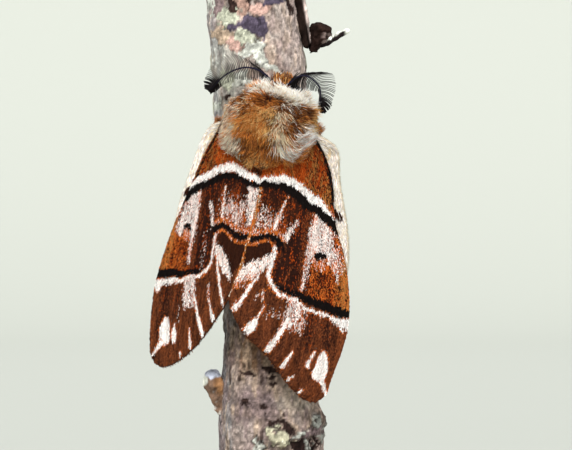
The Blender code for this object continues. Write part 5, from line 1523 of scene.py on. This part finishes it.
def bark_surface(points, x, z):
    """Rise and colour of the bark at points of the stem's smooth shape."""
    front = points[:, 1] < 0
    tall = points * np.array([1, 1, 0.35])
    broad, mid = noise(tall, 2.6, 81, 2), noise(tall, 0.9, 82, 3)
    fine, speck = noise(points, 0.42, 83, 2), noise(points, 0.2, 7, 2)
    crack = np.exp(-(noise(points * np.array([1, 1, 0.25]), 1.1, 84, 2) / 0.06) ** 2)
    crack = crack * step(noise(points, 3.0, 85), 0.0, 0.45)
    rise = sum(share * part for share, part in zip(BARK_RISES, (broad, mid, fine, speck, crack)))
    tints = BARK_TAN + (BARK_ROSE - BARK_TAN) * step(broad, -0.2, 0.5)[:, None]
    grey = step(noise(points, 1.8, 86, 2), 0.0, 0.3)[:, None]
    tints = tints + (BARK_GREY - tints) * grey * 0.6
    left = step(x - stem_at(z)[0], -3.2, -4.7)[:, None]
    tints = tints + (BARK_BLUE - tints) * left * 0.5
    for colour, middle, half, strength in TONES:
        near = np.hypot((x + mid - middle[0]) / half[0], (z + mid - middle[1]) / half[1])
        tints = tints + (colour - tints) * (step(near, 1.1, 0.4) * front * strength)[:, None]
    low = step(z, 40, 28)
    for colour, size, seed, start, strength in PATCHES:
        patch = step(noise(tall, size, seed, 3), start, start + 0.22) * (strength * (0.75 + 0.5 * low))
        tints = tints + (colour - tints) * np.minimum(patch, 0.9)[:, None]
    warp_x = x + 0.8 * noise(points, 1.1, 87, 3) + 0.4 * noise(points, 0.32, 88, 2)
    warp_z = z + 0.8 * noise(points, 1.1, 89, 3) + 0.4 * noise(points, 0.32, 90, 2)
    depths = np.array([crust_depth(warp_x, warp_z, *crust[1:4]) for crust in CRUSTS])
    order = np.sort(depths, axis=0)
    best = depths.argmax(axis=0)
    colours, lifts = (np.array([crust[k] for crust in CRUSTS]) for k in (0, 4))
    cover = np.clip(order[-1] / 0.12 + 0.5, 0, 1) * front
    tints = tints + (colours[best] - tints) * cover[:, None]
    edge = np.minimum(order[-1] - order[-2], np.abs(order[-1] + 0.02)) / SEAM
    seam = np.exp(-edge ** 2) * (order[-1] > -0.15) * front * np.clip(lifts[best] * 6, 0, 0.8)
    seam = seam * step(noise(points, 0.8, 91), -0.25, 0.25)
    rise = rise + lifts[best] * cover * (0.8 + 0.5 * fine) * (0.45 + 0.55 * low) - SEAM_DEEP * seam
    patch = step(noise(points, 2.2, 89, 2), 0.30, 0.42) * ~front
    rise = rise + BACK_LICHEN_RISE * patch
    tints = tints + (LICHEN_GREEN - tints) * patch[:, None]
    # painted shade and light: darker towards the foot, lighter on the raised grain, dark in cracks and seams
    contrast = 0.85 + 0.05 * low
    tints = tints * (BARK_SHADE * (1 - 0.27 * low) * np.exp(contrast * (1.0 * speck + 0.8 * fine)))[:, None]
    tints = tints * (1 - 0.6 * crack)[:, None] * (1 - seam)[:, None]
    return rise, np.clip(tints, 0.004, 0.95)


def make_stem():
    """The cut stem: fissured bark with crusts and lichens, and sawn ends."""
    columns, rows = BARK_GRID
    turn, z = np.meshgrid(np.linspace(0, 2 * pi, columns, endpoint=False),
                          np.linspace(STEM[0][0], STEM[-1][0], rows), indexing="ij")
    middle, radius = stem_at(z)
    radius = radius + swelling(turn, z)
    flat = np.stack([middle + radius * np.sin(turn), -radius * np.cos(turn), z], axis=-1).reshape(-1, 3)
    rise, tints = bark_surface(flat, flat[:, 0], flat[:, 2])
    rise = rise * step(z, STEM[0][0], STEM[0][0] + 0.4).ravel()
    out = np.stack([np.sin(turn), -np.cos(turn), np.zeros_like(turn)], axis=-1).reshape(-1, 3)
    points = flat + out * rise[:, None]
    faces = round_faces(columns, rows)
    finish = bark_material("bark", 0.10)
    stem = build("perch_bark", points, faces, finish, tints, smooth=True)
    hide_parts("perch")
    sawn = wood_material("cut wood", srgb(206, 178, 138), srgb(160, 124, 86), 0.4, 0.7, sawn_across=True)
    for name, row, way in (("perch_top", rows - 1, 1), ("perch_foot", 0, -1)):
        rim = points.reshape(columns, rows, 3)[:, row]
        centre = rim.mean(axis=0)
        rings = [centre + (rim - centre) * share for share in np.linspace(1.0, 0.06, SAWN_RINGS)]
        disc = np.stack(rings, axis=1)
        disc[:, :, 2] += way * 0.05 * noise(disc * np.array([1, 1, 0]), 0.8, 90)
        faces = round_faces(columns, SAWN_RINGS)
        if way < 0:
            faces = faces[:, ::-1]
        flat = np.concatenate([disc.reshape(-1, 3), [centre]])
        inner = np.arange(columns) * SAWN_RINGS + SAWN_RINGS - 1
        fan = np.stack([inner, np.roll(inner, -1), np.full(columns, columns * SAWN_RINGS)], axis=-1)[:, ::way]
        build(name, flat, np.concatenate([halved(faces), fan]), sawn)


# Growths of the stem: name, path with radii, colour, colour of the pale places, roughness
GROWTHS = [("perch_strip", STRIP, WOOD_DARK, BARK_ROSE, 0.26),
           ("perch_bud_scale", BUD_SCALE, srgb(38, 25, 21), srgb(120, 104, 100), 0.45),
           # the twig's pale places on its upper side are painted light, in the lichen's colour
           ("perch_twig", TWIG, srgb(34, 26, 26), LICHEN_AND_TWIG_LIGHT, 0.14),
           ("perch_low_bud", LOW_BUD, srgb(120, 96, 80), BARK_GREY, 0.30)]
GROWTH_GRID = (40, 60)


def make_growths():
    """The dark bark strip, the bud scale and the twig at the top right, and the bud at the lower left."""
    finish = bark_material("twig bark", 0.08)
    sides, rows = GROWTH_GRID
    share = np.linspace(0, 1, rows)
    for name, points, tint, edge, rough in GROWTHS:
        path = along_line([point for point, radius in points], share)
        radius = along_line([(radius,) for point, radius in points], share)[:, 0]
        radius = radius * np.sqrt(np.clip(1.002 - (2 * share - 1) ** 8, 0.02, 1))
        flat, faces = tube_mesh(path, radius, sides)
        centre = np.concatenate([np.tile(path, (sides, 1)), path[:1], path[-1:]])
        away = unit(flat - centre + TINY)
        lump = noise(flat * np.array([1, 1, 0.5]), 0.5, 91, 3)
        flat = flat + away * (rough * lump)[:, None] * 1.4
        pale = step(noise(flat, 0.7, 92, 2), 0.12, 0.4)
        if name == "perch_strip":
            pale = step(flat[:, 0] - centre[:, 0], 0.25, 0.55)
        if name == "perch_bud_scale":
            pale = pale * step(flat[:, 0] - centre[:, 0], 0.2, 0.7)
        if name == "perch_twig":
            # the twig is pale on its upper side as painted light and dark below as painted shade, and pale at
            # its tip
            pale = np.maximum(step(away[:, 2] + lump, 0.2, 0.7), step(flat[:, 0], 7.6, 8.0))
        tints = tint + (edge - tint) * pale[:, None]
        for colour, middle, half in BUD_PATCHES if name == "perch_low_bud" else []:
            depth = crust_depth(flat[:, 0] + 0.4 * lump, flat[:, 2] + 0.4 * lump, middle, half, 0)
            tints = tints + (colour - tints) * np.clip(depth / 0.2 + 0.5, 0, 1)[:, None]
        # brighter where the lumps rise and darker where they sink: painted light and shade on the relief
        build(name, flat, faces, finish, tints * np.exp(1.2 * lump)[:, None], smooth=True)


# How wood's rings show, where it is sawn across and where not: stretch, shape, waviness
WOOD_CUTS = {True: ((1.0, 1.0, 0.1), "RINGS", 3.0), False: ((1.0, 0.12, 1.0), "BANDS", 9.0)}


def wood_material(name, light, dark, ring, rough, sawn_across=False):
    """Wood with growth rings and fine fibres: lengthwise grain, or whole rings where it is sawn across."""
    made, shader = new_material(name, {"Roughness": rough})
    place = add_node(made, "TexCoord")
    stretched, shape, wander = WOOD_CUTS[sawn_across]
    stretch = add_node(made, "Mapping", {"Scale": stretched})
    rings = add_node(made, "TexWave", {"Scale": 1 / (ring * 6 * MM), "Distortion": wander,
                                       "Detail Scale": 0.7, "Detail": 4.0},
                     wave_type=shape, rings_direction="Z")
    fibre = add_node(made, "TexNoise", {"Scale": 1 / (0.5 * MM), "Detail": 6.0})
    tone = add_tones(made, dark, light)
    blend = add_node(made, "Mix", {"Factor": 0.35})
    bump = add_node(made, "Bump", {"Strength": 0.25, "Distance": 0.05 * MM})
    link(made, (place, "Object", stretch, "Vector"), (stretch, "Vector", rings, "Vector"),
         (stretch, "Vector", fibre, "Vector"), (rings, "Fac", blend, "A"), (fibre, "Fac", blend, "B"),
         (blend, "Result", tone, "Fac"), (tone, "Color", shader, "Base Color"),
         (blend, "Result", bump, "Height"), (bump, "Normal", shader, "Normal"))
    return made


def steel_material():
    made, shader = new_material("brushed steel", {"Base Color": (0.55, 0.55, 0.56, 1), "Metallic": 1.0})
    place = add_node(made, "TexCoord")
    brush = add_node(made, "TexNoise", {"Scale": 1 / (0.15 * MM)})
    rough = add_node(made, "MapRange", {"To Min": 0.24, "To Max": 0.42})
    link(made, (place, "Object", brush, "Vector"), (brush, "Fac", rough, "Value"),
         (rough, "Result", shader, "Roughness"))
    return made


def turned_piece(name, profile, finish, sides=96):
    """A closed turned piece from a profile of (radius, height), bottom to top."""
    points = np.concatenate([revolved(profile, sides), [(0, 0, profile[0][1]), (0, 0, profile[-1][1])]])
    thing = build(name, points, closed_faces(sides, len(profile)), finish, smooth=True)
    thing.data.set_sharp_from_angle(angle=radians(35))
    return thing


BASE_ROUND = 1.0
# The groove near the base's rim: how far in its edges and its floor begin and end, and its depth
GROOVE = (4.0, 4.3, 4.8, 5.1)
GROOVE_DEPTH = 0.25
# The collar at the rod's foot, as shares of the rod's radius and as heights
COLLAR_REACH, COLLAR_TOP, COLLAR_EDGE = (1.9, 1.6), 1.0, 0.7


def make_stand():
    """A turned wooden base and a slim steel rod with a low collar, as wide and tall as their solids."""
    low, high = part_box("stand_base")
    radius, top = (high[0] - low[0]) / 2 / MM, high[2] / MM
    profile = [(radius - 0.5, 0.0), (radius, 0.4)]
    profile += [(radius - BASE_ROUND + BASE_ROUND * cos(t), top - BASE_ROUND + BASE_ROUND * sin(t))
                for t in np.linspace(0, pi / 2, 7)]
    for inset, deep in zip(GROOVE, (0, GROOVE_DEPTH, GROOVE_DEPTH, 0)):
        profile.append((radius - inset, top - deep))
    wood = wood_material("base wood", srgb(120, 84, 58), srgb(72, 46, 32), 1.1, 0.42)
    base = turned_piece("stand_base_turned", profile, wood)
    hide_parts("stand_base")
    low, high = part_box("stand_rod")
    radius = (high[0] - low[0]) / 2 / MM
    low, high = low[2] / MM, high[2] / MM
    wide, less = (radius * share for share in COLLAR_REACH)
    profile = [(wide, top + 0.02), (wide, low + COLLAR_EDGE), (less, low + COLLAR_TOP),
               (radius, low + COLLAR_TOP), (radius, high)]
    rod = turned_piece("stand_rod_turned", profile, steel_material(), 64)
    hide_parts("stand_rod")


# The stage: the floor's flat radius, the radius of its bend and how far it rises, and its sides
FLOOR_FLAT, FLOOR_BEND, FLOOR_RISE, FLOOR_SIDES = 720.0, 400.0, radians(75), 96
FLOOR_COLOUR = srgb(186, 190, 182)
# Lamps: name, direction, spread, power, colour
LAMPS = [("key", (0.22, 0.85, -0.75), 20, 3.1, (1.0, 0.98, 0.95)),
         ("fill", (-0.8, 0.65, -0.45), 45, 0.9, (0.98, 0.98, 1.0)),
         ("back", (0.3, -0.8, -0.8), 45, 0.8, (1.0, 1.0, 1.0))]
SKY, SKY_POWER = (0.92, 0.94, 0.96, 1), 0.5


def make_stage():
    """A plain pale floor that sweeps up into a low backdrop, on every side."""
    turns = np.linspace(0, FLOOR_RISE, 25)[1:]
    profile = [(0.0, 0.0), (FLOOR_FLAT, 0.0)]
    profile += [(FLOOR_FLAT + FLOOR_BEND * sin(t), FLOOR_BEND - FLOOR_BEND * cos(t)) for t in turns]
    mesh = bpy.data.meshes.new("floor")
    faces = round_faces(FLOOR_SIDES, len(profile))
    mesh.from_pydata((revolved(profile, FLOOR_SIDES) * MM).tolist(), [], faces.tolist())
    mesh.shade_smooth()
    mesh.materials.append(new_material("floor", {"Base Color": (*FLOOR_COLOUR, 1), "Roughness": 0.9})[0])
    floor = add_object("floor", mesh)


def make_lights():
    """Wide soft lamps that shine along a direction, and an even sky."""
    for name, way, spread, power, colour in LAMPS:
        lamp = bpy.data.lights.new(name, "SUN")
        lamp.angle = radians(spread)
        lamp.energy = power
        lamp.color = colour
        add_object(name, lamp).rotation_euler = Vector(way).to_track_quat("-Z", "Y").to_euler()
    sky = bpy.data.worlds.new("studio")
    sky.use_nodes = True
    set_sockets(sky.node_tree.nodes["Background"], {"Color": SKY, "Strength": SKY_POWER})
    bpy.context.scene.world = sky
    bpy.context.scene.view_settings.view_transform = "Standard"


def make_camera():
    lens = bpy.data.cameras.new("camera")
    lens.lens = LENS
    lens.sensor_width = SENSOR
    lens.clip_start = 0.01
    lens.clip_end = 10
    camera = add_object("camera", lens)
    camera.location = np.array(CAMERA_AT) * MM
    camera.rotation_euler = (pi / 2, 0, 0)
    bpy.context.scene.camera = camera


make_camera()
make_wings()
make_skin()
make_coat()
make_antennae()
make_eyes()
make_legs()
make_stem()
make_growths()
make_stand()
make_stage()
make_lights()
